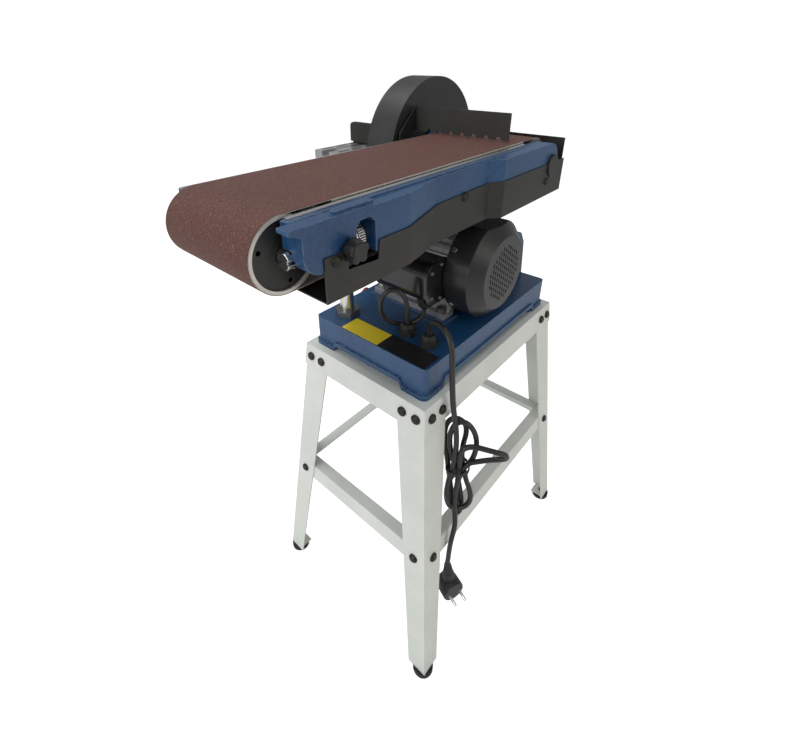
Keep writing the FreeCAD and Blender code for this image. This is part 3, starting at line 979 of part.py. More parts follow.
MAINS_PATH = [
    (*GLAND_OUT, BASE_TOP + 8), (*GLAND_OUT, BASE_TOP + 32), (-134, -91, BASE_TOP + 49),
    (-143, -113, BASE_TOP + 49), (-150, -129, BASE_TOP + 32), (-150, -131, 572), (-148, -133, 533),
    (-143, -134, 500), (-138, -135, 470),
]
TAIL_PATH = [
    (-140, -147, 310), (-147, -156, 282), (-156, -156, 256), (-160, -156, 228), (-161, -156, 202),
]
LEAD_PATH = [
    (*BOX_GLAND, BOX_Z0 - 12), (*BOX_GLAND, BOX_Z0 - 23), (-90, -33, BASE_TOP + 13), (-104, -29, BASE_TOP + 8),
    (-120, -20, BASE_TOP + 8), (-134, -9, BASE_TOP + 14), (-145, -2, BASE_TOP + 29), (-149, -2, BASE_TOP + 49),
    (-146, -8, BASE_TOP + 67), (-137, -18, BASE_TOP + 75), (-128, -28, BASE_TOP + 67), (-124.5, -33, BASE_TOP + 50),
    (*GLAND_IN, BASE_TOP + 31), (*GLAND_IN, BASE_TOP + 8),
]
upper, upper_length = cord(MAINS_PATH, CORD_R)
tail, tail_length = cord(TAIL_PATH, CORD_R)
lead, lead_length = cord(LEAD_PATH, LEAD_R)
nodes["mains_cord"] = together([upper, tail])
nodes["motor_lead"] = lead
print("cord runs, mm", round(upper_length, 1), round(tail_length, 1), "motor lead", round(lead_length, 1))
hank = slab([(-152, 272), (-106, 272), (-106, 476), (-142, 476), (-152, 420)], "y", -151, -126.5)
lobe = slab([(-128, -150), (-110, -130), (-58, -186), (-64, -196), (-76, -198)], "z", 392, 412)
nodes["cord_hank"] = join([hank, lobe])
plug = join([
    turned([(0, 0), (6, 0), (8, -10), (9, -26), (0, -26)], (-161, -156, 202), (0, 0, 1)),
    soften(box(-176, -146, -172, -140, 128, 178), 8, Z),
])
face = slab([(-176, 128), (-146, 128), (-128, 122), (-134, 108), (-160, 112), (-176, 120)], "y", -172, -140)
nodes["mains_plug"] = join([plug, face])
pins = []
for dy in (-9.5, 9.5):
    pins.append(rod((-136, -156 + dy, 115), (0.82, 0, -0.57), 2.4, 19 + 5))
nodes["plug_pins"] = together(pins)
nodes["mains_plug"] = nodes["mains_plug"].cut(nodes["plug_pins"])
free_cord += ["mains_cord", "cord_hank", "mains_plug", "plug_pins"]


def merge(name, *others):
    """Keep several solids of one body and one material in a single node."""
    solids = []
    for node in (name,) + others:
        if node in nodes:
            solids += nodes.pop(node).Solids
    nodes[name] = together(solids)


merge("top_rails", "top_rail_front", "top_rail_back", "top_rail_left", "top_rail_right")
merge("legs", "leg_front_left", "leg_front_right", "leg_back_left", "leg_back_right")
merge("stretchers", "stretcher_front", "stretcher_back", "stretcher_left", "stretcher_right")
merge("machine_fasteners", "base_bolts", "motor_foot_bolts", "table_pivot_pins", "rest_post_nut",
      "fan_cover_screws", "terminal_screws")
merge("cable_glands", "terminal_gland")
merge("switch_box", "switch_face")
merge("motor_housing", "motor_end_shields", "motor_feet")
merge("shaft_bearings", "motor_bearings", "spindle_bearings")
merge("motor_shaft", "motor_rotor")
merge("drive_case", "drive_case_lid")
merge("disc_guard", "dust_port")
merge("terminal_box", "terminal_lid")
merge("platen", "arm_cross_bars")
merge("idler_carriage", "idler_axle", "slide_block", "tension_screw")
merge("dust_tray", "end_guard")
merge("arm_screws", "tray_screws", "stop_screw")
print("nodes", len(nodes), sorted(nodes))

# The row's origin: middle of the whole outside, at the floor, without the free cord.
bound = FreeCAD.BoundBox()
for name, shape in nodes.items():
    if name not in free_cord:
        bound.add(shape.BoundBox)
shift = V(-(bound.XMin + bound.XMax) / 2, -(bound.YMin + bound.YMax) / 2, -bound.ZMin)
print("stand centre in the row frame, mm", [round(c, 3) for c in shift])
print("size", round(bound.XLength, 1), round(bound.YLength, 1), round(bound.ZLength, 1))
for name, shape in nodes.items():
    moved = shape.copy()
    moved.translate(shift)
    if not shape.isValid() or shape.Volume <= 0:
        print("check", name, shape.isValid(), shape.Volume)
    moved.exportStep("parts/" + name + ".step")
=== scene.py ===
"""Belt and disc sander on its stand: finishes, cords and the small turned and moulded trim."""
import math

import bmesh
import bpy
from mathutils import Matrix, Vector


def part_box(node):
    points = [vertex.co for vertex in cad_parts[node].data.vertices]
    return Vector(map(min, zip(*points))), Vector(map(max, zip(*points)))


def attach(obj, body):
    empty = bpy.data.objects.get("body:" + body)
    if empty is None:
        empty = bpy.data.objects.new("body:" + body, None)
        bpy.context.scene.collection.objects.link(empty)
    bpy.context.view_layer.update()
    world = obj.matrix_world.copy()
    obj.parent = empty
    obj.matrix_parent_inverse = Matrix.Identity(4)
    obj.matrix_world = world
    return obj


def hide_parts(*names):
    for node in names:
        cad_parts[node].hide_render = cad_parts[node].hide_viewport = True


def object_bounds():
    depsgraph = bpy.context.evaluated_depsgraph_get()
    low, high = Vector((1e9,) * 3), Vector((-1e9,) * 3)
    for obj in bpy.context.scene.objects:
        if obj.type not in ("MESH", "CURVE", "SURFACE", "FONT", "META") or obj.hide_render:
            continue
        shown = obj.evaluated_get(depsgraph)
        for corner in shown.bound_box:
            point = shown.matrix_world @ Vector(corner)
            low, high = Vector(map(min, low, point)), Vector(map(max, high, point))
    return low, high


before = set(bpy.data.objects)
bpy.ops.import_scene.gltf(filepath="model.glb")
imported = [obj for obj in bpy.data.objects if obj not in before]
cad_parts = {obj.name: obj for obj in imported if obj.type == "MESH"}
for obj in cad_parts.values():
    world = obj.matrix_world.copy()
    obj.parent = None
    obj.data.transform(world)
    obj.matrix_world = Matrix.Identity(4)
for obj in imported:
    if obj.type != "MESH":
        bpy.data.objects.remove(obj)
cad_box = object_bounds()
legs_low, legs_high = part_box("legs")
STAND = Vector(((legs_low.x + legs_high.x) / 2, (legs_low.y + legs_high.y) / 2, 0.0))


# ---- Shader building ----------------------------------------------------------------------
class Value:
    """A shader socket that can be written into sums; each operator adds one Math node."""

    def __init__(self, finish, socket):
        self.finish = finish
        self.socket = socket

    def maths(self, operation, *others, **settings):
        return self.finish.node("Math", {"operation": operation, **settings}, (self,) + others)

    def __add__(self, other):
        return self.maths("ADD", other)

    def __sub__(self, other):
        return self.maths("SUBTRACT", other)

    def __rsub__(self, other):
        return self.finish.node("Math", {"operation": "SUBTRACT"}, (other, self))

    def __mul__(self, other):
        return self.maths("MULTIPLY", other)

    def __truediv__(self, other):
        return self.maths("DIVIDE", other)

    def __rtruediv__(self, other):
        return self.finish.node("Math", {"operation": "DIVIDE"}, (other, self))

    def __pow__(self, other):
        return self.maths("POWER", other)

    def __gt__(self, other):
        return self.maths("GREATER_THAN", other)

    def __lt__(self, other):
        return self.maths("LESS_THAN", other)

    __radd__ = __add__
    __rmul__ = __mul__

    def clamp(self, low=0.0, high=1.0):
        return self.finish.node("Clamp", {}, {"Value": self, "Min": low, "Max": high})

    def band(self, low, high):
        """0 below low, 1 above high, smooth between."""
        return self.finish.node("MapRange", {"interpolation_type": "SMOOTHSTEP"},
                                {"Value": self, "From Min": low, "From Max": high})


class Finish:
    """A material made of nodes."""

    def __init__(self, name):
        self.material = bpy.data.materials.new(name)
        self.material.use_nodes = True
        self.tree = self.material.node_tree
        self.shader = self.tree.nodes["Principled BSDF"]
        self.place = self.node("TexCoord", out="Object")

    def node(self, kind, settings=None, values=None, out=0):
        made = self.tree.nodes.new("ShaderNode" + kind)
        for key, setting in (settings or {}).items():
            setattr(made, key, setting)
        named = values.items() if isinstance(values, dict) else enumerate(values or ())
        for key, value in named:
            self.feed(made.inputs[key], value)
        return Value(self, made.outputs[out])

    def feed(self, socket, value):
        if isinstance(value, Value):
            self.tree.links.new(value.socket, socket)
        elif isinstance(value, (tuple, list, Vector)) and socket.type == "RGBA":
            socket.default_value = (*value[:3], 1.0)
        else:
            socket.default_value = value

    def split(self, vector=None):
        parts = self.tree.nodes.new("ShaderNodeSeparateXYZ")
        self.feed(parts.inputs[0], vector or self.place)
        return [Value(self, out) for out in parts.outputs]

    def stretch(self, x, y, z):
        """Object coordinates scaled differently along each axis."""
        return self.node("Mapping", {}, {"Vector": self.place, "Scale": (x, y, z)})

    def noise(self, scale, detail=3.0, rough=0.55, place=None, seed=0.0):
        return self.node("TexNoise", {"noise_dimensions": "4D"}, {
            "Vector": place or self.place, "W": seed, "Scale": scale, "Detail": detail, "Roughness": rough})

    def cells(self, scale, place=None, feature="F1", out="Distance", spread=1.0):
        return self.node("TexVoronoi", {"feature": feature}, {
            "Vector": place or self.place, "Scale": scale, "Randomness": spread}, out=out)

    def mix(self, share, first, second, blend="MIX"):
        made = self.tree.nodes.new("ShaderNodeMix")
        made.data_type = "RGBA"
        made.blend_type = blend
        self.feed(made.inputs["Factor"], share)
        self.feed([s for s in made.inputs if s.name == "A" and s.type == "RGBA"][0], first)
        self.feed([s for s in made.inputs if s.name == "B" and s.type == "RGBA"][0], second)
        return Value(self, [s for s in made.outputs if s.type == "RGBA"][0])

    def bump(self, height, strength, depth, under=None):
        values = {"Height": height, "Strength": strength, "Distance": depth}
        if under is not None:
            values["Normal"] = under
        return self.node("Bump", {}, values)

    def edge(self, radius):
        """1 on sharp outside and inside edges, 0 on flats."""
        soft = self.node("Bevel", {"samples": 6}, {"Radius": radius})
        hard = self.node("NewGeometry", out="True Normal")
        dot = self.node("VectorMath", {"operation": "DOT_PRODUCT"}, (soft, hard), out="Value")
        return (1.0 - dot).band(0.02, 0.22)

    def rounded(self, radius):
        """Surface normal with its edges eased."""
        return self.node("Bevel", {"samples": 6}, {"Radius": radius})

    def done(self, **values):
        for key, value in values.items():
            self.feed(self.shader.inputs[key.replace("_", " ")], value)
        return self.material


def powder_coat():
    """Pale grey-green powder coat with fine orange peel and handling marks."""
    f = Finish("powder_coat")
    cloud = f.noise(9.0, 4.0, 0.6)
    peel = f.noise(900.0, 2.0, 0.5)
    marks = f.noise(60.0, 5.0, 0.7, f.stretch(1.0, 1.0, 0.25)).band(0.62, 0.75)
    colour = f.mix(cloud.band(0.35, 0.7), (0.66, 0.695, 0.65), (0.735, 0.755, 0.715))
    colour = f.mix(marks * 0.22, colour, (0.5, 0.53, 0.49))
    return f.done(Base_Color=colour, Roughness=0.34 + cloud * 0.16,
                  Normal=f.bump(peel, 0.25, 0.0004, f.rounded(0.0009)), Specular_IOR_Level=0.5)


def black_zinc():
    """Dark bolts: blackened steel whose pale rims are rubbed wear and a painted highlight."""
    f = Finish("black_zinc")
    stain = f.noise(420.0, 4.0, 0.6)
    # every rim is painted paler: partly rubbing, partly a painted highlight along the edges
    rub = f.edge(0.0007)
    colour = f.mix(stain, (0.018, 0.016, 0.013), (0.055, 0.05, 0.043))
    return f.done(Base_Color=f.mix(rub * 0.6, colour, (0.2, 0.19, 0.17)), Metallic=0.75,
                  Roughness=0.3 + stain * 0.3, Normal=f.bump(stain, 0.3, 0.0002, f.rounded(0.0006)))


def foot_rubber():
    """Black rubber feet, scuffed and dusty towards the floor."""
    f = Finish("foot_rubber")
    dust = f.noise(160.0, 5.0, 0.7)
    up = f.split()[2]
    low = 1.0 - up.band(0.0, 0.009)
    colour = f.mix((dust.band(0.45, 0.75) * low).clamp(), (0.012, 0.012, 0.012), (0.13, 0.125, 0.115))
    return f.done(Base_Color=colour, Roughness=0.62 + dust * 0.25,
                  Normal=f.bump(dust, 0.4, 0.0005, f.rounded(0.001)))


def hammered_blue():
    """Blue hammered enamel on rough castings, worn along its edges, where the pale edge colour is also a
    painted highlight.
    """
    f = Finish("hammered_blue")
    dimple = f.cells(260.0, f.stretch(1.0, 1.0, 1.0), "SMOOTH_F1")
    sand = f.noise(700.0, 3.0, 0.6)
    cloud = f.noise(14.0, 4.0, 0.6)
    worn_and_highlit_edge = (f.edge(0.0011) * f.noise(130.0, 4.0, 0.7).band(0.34, 0.62)).clamp()
    streak = f.noise(46.0, 5.0, 0.75).band(0.64, 0.8)
    colour = f.mix(cloud.band(0.3, 0.75), (0.0045, 0.038, 0.118), (0.009, 0.06, 0.165))
    colour = f.mix(dimple.band(0.1, 0.65) * 0.25, colour, (0.016, 0.1, 0.23))
    colour = f.mix(streak * 0.12, colour, (0.1, 0.22, 0.36))
    # the pale edge band is partly wear and partly a painted highlight along the edges
    colour = f.mix(worn_and_highlit_edge * 0.8, colour, (0.42, 0.5, 0.55))
    height = dimple * 0.8 + sand * 0.35
    return f.done(Base_Color=colour, Roughness=0.3 + sand * 0.22 + worn_and_highlit_edge * 0.1, Metallic=worn_and_highlit_edge * 0.35,
                  Normal=f.bump(height, 0.42, 0.0009, f.rounded(0.0014)),
                  Coat_Weight=0.25, Coat_Roughness=0.2)


def sheet_black():
    """Satin black paint on folded sheet, with faint rub marks along X and a painted highlight along its
    edges.
    """
    f = Finish("sheet_black")
    grain = f.noise(1100.0, 2.0, 0.5)
    cloud = f.noise(11.0, 4.0, 0.6)
    rub = f.noise(70.0, 5.0, 0.7, f.stretch(0.15, 1.0, 1.0)).band(0.6, 0.78)
    colour = f.mix(cloud.band(0.3, 0.75), (0.0125, 0.012, 0.0105), (0.024, 0.023, 0.021))
    # paler in the rub marks along X, and a painted highlight along every edge
    colour = f.mix(rub * 0.3 + f.edge(0.0005) * 0.4, colour, (0.1, 0.098, 0.09))
    return f.done(Base_Color=colour, Roughness=0.36 + cloud * 0.2, Normal=f.bump(grain, 0.22, 0.0002))


def guard_black():
    """Textured black enamel of the disc guard and its bracket, with a painted highlight along its edges."""
    f = Finish("guard_black")
    grain = f.cells(900.0, None, "SMOOTH_F1")
    cloud = f.noise(9.0, 4.0, 0.6)
    colour = f.mix(cloud.band(0.3, 0.75), (0.018, 0.0185, 0.019), (0.032, 0.033, 0.034))
    # painted highlight: every edge is painted paler grey
    colour = f.mix(f.edge(0.0009) * 0.45, colour, (0.13, 0.13, 0.13))
    return f.done(Base_Color=colour, Roughness=0.34 + cloud * 0.18,
                  Normal=f.bump(grain, 0.25, 0.0003, f.rounded(0.0012)))


def moulded_black():
    """Black moulded plastic with a faint spark texture."""
    f = Finish("moulded_black")
    spark = f.noise(1500.0, 2.0, 0.5)
    cloud = f.noise(25.0, 3.0, 0.6)
    colour = f.mix(cloud, (0.010, 0.010, 0.010), (0.022, 0.022, 0.021))
    return f.done(Base_Color=colour, Roughness=0.33 + cloud * 0.2,
                  Normal=f.bump(spark, 0.3, 0.00025, f.rounded(0.0008)))


def glossy_black():
    """Gloss black of the terminal box."""
    f = Finish("glossy_black")
    wave = f.noise(45.0, 2.0, 0.5)
    dust = f.noise(500.0, 5.0, 0.75).band(0.66, 0.8)
    colour = f.mix(dust * 0.3, (0.009, 0.009, 0.009), (0.1, 0.1, 0.095))
    return f.done(Base_Color=colour, Roughness=0.16 + dust * 0.3 + wave * 0.1,
                  Normal=f.bump(wave, 0.12, 0.0006, f.rounded(0.0018)), Coat_Weight=0.4, Coat_Roughness=0.08)


def fan_black():
    """Semi-gloss black paint on the pressed fan cover, with a painted highlight along its edges."""
    f = Finish("fan_black")
    peel = f.noise(380.0, 2.0, 0.5)
    cloud = f.noise(16.0, 3.0, 0.6)
    colour = f.mix(cloud, (0.011, 0.0115, 0.012), (0.024, 0.0245, 0.025))
    # painted highlight: every edge is painted paler
    colour = f.mix(f.edge(0.0006) * 0.4, colour, (0.12, 0.12, 0.12))
    return f.done(Base_Color=colour, Roughness=0.24 + cloud * 0.14,
                  Normal=f.bump(peel, 0.16, 0.0004, f.rounded(0.0014)))


def cast_alloy():
    """Silver painted die-cast motor body, with a painted highlight along its edges."""
    f = Finish("cast_alloy")
    sand = f.noise(650.0, 4.0, 0.65)
    cloud = f.noise(18.0, 4.0, 0.6)
    colour = f.mix(cloud, (0.36, 0.365, 0.37), (0.56, 0.565, 0.57))
    # painted highlight: every edge is painted nearly white
    colour = f.mix(f.edge(0.0006) * 0.5, colour, (0.8, 0.8, 0.8))
    return f.done(Base_Color=colour, Metallic=0.72, Roughness=0.34 + sand * 0.22,
                  Normal=f.bump(sand, 0.35, 0.0004, f.rounded(0.0007)))


def machined_alloy():
    """Aluminium faces with long milling lines along X."""
    f = Finish("machined_alloy")
    lines = f.noise(520.0, 4.0, 0.7, f.stretch(0.03, 1.0, 1.0))
    cloud = f.noise(12.0, 4.0, 0.6)
    colour = f.mix(lines, (0.47, 0.475, 0.48), (0.66, 0.665, 0.67))
    colour = f.mix(cloud.band(0.45, 0.75) * 0.35, colour, (0.4, 0.4, 0.395))
    return f.done(Base_Color=colour, Metallic=0.9, Roughness=0.24 + lines * 0.2,
                  Normal=f.bump(lines, 0.22, 0.0002, f.rounded(0.0005)), Anisotropic=0.4)


def bare_steel():
    """Ground and milled steel with fine lines and a few dull spots."""
    f = Finish("bare_steel")
    lines = f.noise(800.0, 4.0, 0.7, f.stretch(0.05, 1.0, 1.0))
    spots = f.noise(90.0, 5.0, 0.7).band(0.58, 0.75)
    colour = f.mix(lines, (0.5, 0.5, 0.49), (0.74, 0.74, 0.72))
    colour = f.mix(spots * 0.4, colour, (0.3, 0.29, 0.26))
    return f.done(Base_Color=colour, Metallic=0.95, Roughness=0.2 + lines * 0.16 + spots * 0.2,
                  Normal=f.bump(lines, 0.18, 0.00015, f.rounded(0.0005)))


def turned_steel():
    """Turned parts whose tool marks run round the Y axis."""
    f = Finish("turned_steel")
    marks = f.noise(900.0, 3.0, 0.6, f.stretch(0.02, 1.0, 0.02))
    colour = f.mix(marks, (0.42, 0.42, 0.415), (0.62, 0.62, 0.61))
    return f.done(Base_Color=colour, Metallic=0.95, Roughness=0.22 + marks * 0.2,
                  Normal=f.bump(marks, 0.2, 0.00015, f.rounded(0.0005)))


def plated():
    """Bright nickel and zinc plating."""
    f = Finish("plated")
    haze = f.noise(300.0, 4.0, 0.6)
    colour = f.mix(haze, (0.62, 0.62, 0.6), (0.82, 0.82, 0.8))
    return f.done(Base_Color=colour, Metallic=1.0, Roughness=0.13 + haze * 0.16,
                  Normal=f.bump(haze, 0.08, 0.0002, f.rounded(0.0006)))


def zinc():
    """Duller zinc-plated nuts and bolts."""
    f = Finish("zinc")
    haze = f.noise(260.0, 4.0, 0.65)
    colour = f.mix(haze, (0.09, 0.09, 0.088), (0.3, 0.3, 0.29))
    return f.done(Base_Color=colour, Metallic=0.85, Roughness=0.3 + haze * 0.2,
                  Normal=f.bump(haze, 0.15, 0.0002, f.rounded(0.0006)))


def drum_steel(axis, rim):
    """A drum with a turned rim; the ends inside the rim are blackened."""
    f = Finish("drum_steel")
    x, y, z = f.split()
    out = ((x - axis.x) ** 2.0 + (z - axis.z) ** 2.0) ** 0.5 > rim
    cloud = f.noise(60.0, 4.0, 0.6)
    marks = f.noise(900.0, 3.0, 0.6, f.stretch(0.02, 1.0, 0.02))
    dark = f.mix(cloud, (0.012, 0.010, 0.007), (0.03, 0.025, 0.017))
    light = f.mix(marks, (0.52, 0.5, 0.46), (0.72, 0.7, 0.66))
    return f.done(Base_Color=f.mix(out, dark, light), Metallic=0.35 + out * 0.1,
                  Roughness=0.34 + cloud * 0.2,
                  Normal=f.bump(marks, 0.12, 0.0002))


def rubber(name, tint, shine):
    f = Finish(name)
    skin = f.noise(750.0, 3.0, 0.6)
    cloud = f.noise(40.0, 3.0, 0.6)
    colour = f.mix(cloud, tint, tuple(c * 1.9 for c in tint))
    return f.done(Base_Color=colour, Roughness=shine + skin * 0.18, Normal=f.bump(skin, 0.2, 0.0002))


def film(name, tint):
    """A blank printed film with handling marks."""
    f = Finish(name)
    marks = f.noise(120.0, 5.0, 0.7).band(0.6, 0.8)
    worn = tuple(min(1.0, c * 0.7 + 0.06) for c in tint)
    return f.done(Base_Color=f.mix(marks * 0.35, tint, worn), Roughness=0.3 + marks * 0.3,
                  Normal=f.bump(f.noise(300.0, 2.0), 0.06, 0.0003))


def button(name, tint):
    f = Finish(name)
    wave = f.noise(90.0, 3.0, 0.6)
    dark = tuple(c * 0.75 for c in tint)
    return f.done(Base_Color=f.mix(wave, dark, tint), Roughness=0.2 + wave * 0.12,
                  Normal=f.bump(wave, 0.06, 0.0004, f.rounded(0.0012)), Coat_Weight=0.3, Coat_Roughness=0.1)


def grit(name, flat_axis, first, last):
    """Brown abrasive grain on a cloth backing. The cloth shows inside the loop and on its edges."""
    f = Finish(name)
    grain = f.cells(1700.0, None, "F1", "Distance")
    shade = f.node("SeparateColor", {}, (f.cells(1700.0, None, "F1", "Color"),), out=0)
    fleck = f.node("SeparateColor", {}, (f.cells(1500.0, None, "F1", "Color"),), out=1)
    cloud = f.noise(15.0, 4.0, 0.65)
    coarse = f.noise(260.0, 4.0, 0.8)
    colour = f.mix(shade, (0.055, 0.018, 0.0125), (0.135, 0.048, 0.036))
    colour = f.mix(coarse.band(0.35, 0.75) * 0.35, colour, (0.15, 0.062, 0.046))
    colour = f.mix(fleck.band(0.94, 0.98) * 0.6, colour, (0.4, 0.24, 0.19))
    colour = f.mix(fleck.band(0.02, 0.07) * -1.0 + 1.0, colour, (0.018, 0.008, 0.006))
    colour = f.mix(cloud.band(0.35, 0.7) * 0.15, colour, (0.15, 0.07, 0.055))
    height = (1.0 - grain) * 0.8 + coarse * 0.5
    rough = 0.62 + shade * 0.2
    if flat_axis == "loop":
        x, y, z = f.split()
        near = x.maths("MAXIMUM", first.x).maths("MINIMUM", last.x)
        out = ((x - near) ** 2.0 + (z - first.z) ** 2.0) ** 0.5
        outside = out > last.z
        weave = f.noise(900.0, 2.0, 0.5, f.stretch(1.0, 0.2, 1.0))
        cloth = f.mix(weave, (0.5, 0.46, 0.4), (0.74, 0.7, 0.63))
        colour = f.mix(outside, cloth, colour)
    return f.done(Base_Color=colour, Roughness=rough, Normal=f.bump(height, 0.55, 0.0005))


# ---- Finishes for the carried-over pieces ---------------------------------------------------
idler_low, idler_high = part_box("idler_drum")
drive_low, drive_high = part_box("drive_drum")
belt_low, belt_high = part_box("abrasive_belt")
idler_axis = (idler_low + idler_high) / 2
drive_axis = (drive_low + drive_high) / 2
belt_outer = (belt_high.z - belt_low.z) / 2
DRUM_RIM = (idler_high.z - idler_low.z) / 2 - 0.0033
loop_start = Vector((idler_axis.x, 0.0, idler_axis.z))
loop_end = Vector((drive_axis.x, 0.0, belt_outer - 0.00035))

blue, sheet, guard = hammered_blue(), sheet_black(), guard_black()
coat, steel, bright = powder_coat(), bare_steel(), plated()
alloy, turned, moulded = machined_alloy(), turned_steel(), moulded_black()
dull, dark_bolt, cord_skin = zinc(), black_zinc(), rubber("cord_sheath", (0.011, 0.0105, 0.010), 0.3)
FINISHES = {
    "top_rails": coat, "legs": coat, "stretchers": coat, "rubber_feet": foot_rubber(),
    "stand_bolts": dark_bolt, "base_casting": blue, "machine_fasteners": dull, "rest_post": bright,
    "cable_glands": moulded, "yellow_plate": film("yellow_film", (0.78, 0.6, 0.012)),
    "black_plate": film("black_film", (0.014, 0.014, 0.014)), "switch_box": moulded,
    "motor_housing": cast_alloy(), "motor_stator": turned, "shaft_bearings": steel,
    "fan_cover": fan_black(), "terminal_box": glossy_black(), "pedestal": blue,
    "drive_belt": rubber("drive_rubber", (0.013, 0.013, 0.013), 0.5), "drive_case": guard,
    "disc_guard": guard, "table_brackets": guard, "motor_lead": cord_skin, "mains_cord": cord_skin,
    "cord_hank": cord_skin, "mains_plug": moulded, "plug_pins": bright, "spindle": steel,
    "drive_drum": turned, "drive_pulley": turned, "disc_plate": turned,
    "abrasive_disc": grit("disc_grit", "disc", None, None), "motor_shaft": steel,
    "cooling_fan": moulded, "motor_pulley": turned, "cheek_near": blue, "cheek_far": blue,
    "platen": steel, "edge_strips": steel, "near_bearing": steel, "dust_tray": sheet,
    "abrasive_belt": grit("belt_grit", "loop", loop_start, loop_end),
    "arm_screws": dark_bolt, "spindle_cap": moulded, "work_stop": sheet, "tension_spring": bright,
    "idler_carriage": bright, "idler_drum": drum_steel(idler_axis, DRUM_RIM), "idler_bearings": steel,
    "tension_wheel": bright, "tracking_knob": moulded, "disc_table": alloy,
    "table_trunnions": guard, "mitre_bar": steel, "mitre_head": sheet, "mitre_knob": moulded,
    "table_knob_left": moulded, "table_knob_right": moulded,
    "start_button": button("green_button", (0.012, 0.3, 0.05)),
    "stop_button": button("red_button", (0.5, 0.01, 0.008)),
}
for name, finish in FINISHES.items():
    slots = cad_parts[name].data.materials
    slots.clear()
    slots.append(finish)


# ---- Cords ------------------------------------------------------------------------------------
def stand_point(x, y, z):
    """A point given in metres from the middle of the stand."""
    return STAND + Vector((x, y, z))


def cord_line(name, points, diameter, finish):
    """A round cord along one smooth line that has these points as its control points."""
    curve = bpy.data.curves.new(name, "CURVE")
    curve.dimensions = "3D"
    spline = curve.splines.new("NURBS")
    spline.points.add(len(points) - 1)
    for spot, point in zip(spline.points, points):
        spot.co = (*stand_point(*point), 1.0)
    spline.order_u = 3
    spline.use_endpoint_u = True
    spline.resolution_u = 8
    curve.resolution_u = 8
    curve.bevel_depth = diameter / 2
    curve.bevel_resolution = 5
    curve.use_fill_caps = True
    curve.materials.append(finish)
    made = bpy.data.objects.new(name, curve)
    bpy.context.scene.collection.objects.link(made)
    return made


MAINS_ROUTE = [
    (-0.127, -0.075, 0.584), (-0.127, -0.075, 0.608), (-0.134, -0.091, 0.625), (-0.143, -0.113, 0.625),
    (-0.150, -0.129, 0.608), (-0.150, -0.131, 0.572), (-0.148, -0.133, 0.533), (-0.143, -0.134, 0.500),
    (-0.139, -0.1375, 0.470), (-0.1385, -0.1405, 0.440), (-0.1405, -0.1405, 0.412),
    # down the left of the first lower loop and up its right side
    (-0.1422, -0.1393, 0.3916), (-0.1455, -0.1367, 0.3710), (-0.1470, -0.1349, 0.3442),
    (-0.1447, -0.1377, 0.3192), (-0.1394, -0.1445, 0.3057), (-0.1325, -0.1531, 0.3043),
    (-0.1261, -0.1613, 0.3122), (-0.1221, -0.1647, 0.3275), (-0.1227, -0.1607, 0.3452),
    (-0.1242, -0.1540, 0.3611), (-0.1250, -0.1481, 0.3834),
    # top loop, behind
    (-0.1244, -0.1425, 0.4041), (-0.1205, -0.1409, 0.4247), (-0.1174, -0.1432, 0.4460),
    (-0.1187, -0.1416, 0.4636), (-0.1245, -0.1343, 0.4737), (-0.1316, -0.1253, 0.4741),
    (-0.1361, -0.1195, 0.4640), (-0.1374, -0.1179, 0.4462), (-0.1365, -0.1206, 0.4231),
    (-0.1377, -0.1255, 0.4027), (-0.1389, -0.1306, 0.3797),
    # long middle loop below the tie
    (-0.1356, -0.1331, 0.3501), (-0.1326, -0.1369, 0.3206), (-0.1312, -0.1387, 0.2971),
    (-0.1286, -0.1420, 0.2804), (-0.1241, -0.1476, 0.2810), (-0.1233, -0.1503, 0.2995),
    (-0.1249, -0.1483, 0.3253), (-0.1285, -0.1437, 0.3545), (-0.1320, -0.1393, 0.3827),
    # second top loop, leaning to the right
    (-0.1366, -0.1334, 0.4076), (-0.1398, -0.1294, 0.4319), (-0.1401, -0.1290, 0.4538),
    (-0.1367, -0.1333, 0.4706), (-0.1309, -0.1407, 0.4777), (-0.1236, -0.1499, 0.4717),
    (-0.1181, -0.1569, 0.4568), (-0.1153, -0.1604, 0.4383), (-0.1147, -0.1595, 0.4169),
    (-0.1138, -0.1542, 0.3945), (-0.1161, -0.1449, 0.3742), (-0.1225, -0.1344, 0.3639),
    # narrow lower loop, behind
    (-0.1281, -0.1281, 0.3482), (-0.1307, -0.1248, 0.3249), (-0.1304, -0.1252, 0.3012),
    (-0.1267, -0.1298, 0.2822), (-0.1211, -0.1369, 0.2804), (-0.1197, -0.1404, 0.2991),
    (-0.1246, -0.1405, 0.3277), (-0.1322, -0.1439, 0.3602), (-0.1365, -0.1472, 0.3886),
    # the loop that sticks out to the side
    (-0.1378, -0.1472, 0.4106), (-0.1373, -0.1479, 0.4291), (-0.1323, -0.1542, 0.4376),
    (-0.1244, -0.1642, 0.4383), (-0.1144, -0.1769, 0.4334), (-0.1044, -0.1896, 0.4284),
    (-0.0956, -0.1982, 0.4234), (-0.0884, -0.1977, 0.4098), (-0.0926, -0.1891, 0.4049),
    (-0.1025, -0.1766, 0.4028), (-0.1133, -0.1646, 0.3997), (-0.1231, -0.1537, 0.3968),
    # out of the tie and down to the plug
    (-0.1330, -0.1500, 0.3850), (-0.1400, -0.1470, 0.3600), (-0.1400, -0.1470, 0.3100),
    (-0.1470, -0.1560, 0.2820), (-0.1560, -0.1560, 0.2560), (-0.1600, -0.1560, 0.2280),
    (-0.1610, -0.1560, 0.2020),
]
LEAD_ROUTE = [
    (-0.083, -0.034, 0.609), (-0.083, -0.034, 0.598), (-0.090, -0.033, 0.589), (-0.104, -0.029, 0.584),
    (-0.120, -0.020, 0.584), (-0.134, -0.009, 0.590), (-0.145, -0.002, 0.605), (-0.149, -0.002, 0.625),
    (-0.146, -0.008, 0.643), (-0.137, -0.018, 0.651), (-0.128, -0.028, 0.643), (-0.1245, -0.033, 0.626),
    (-0.124, -0.034, 0.607), (-0.124, -0.034, 0.584),
]


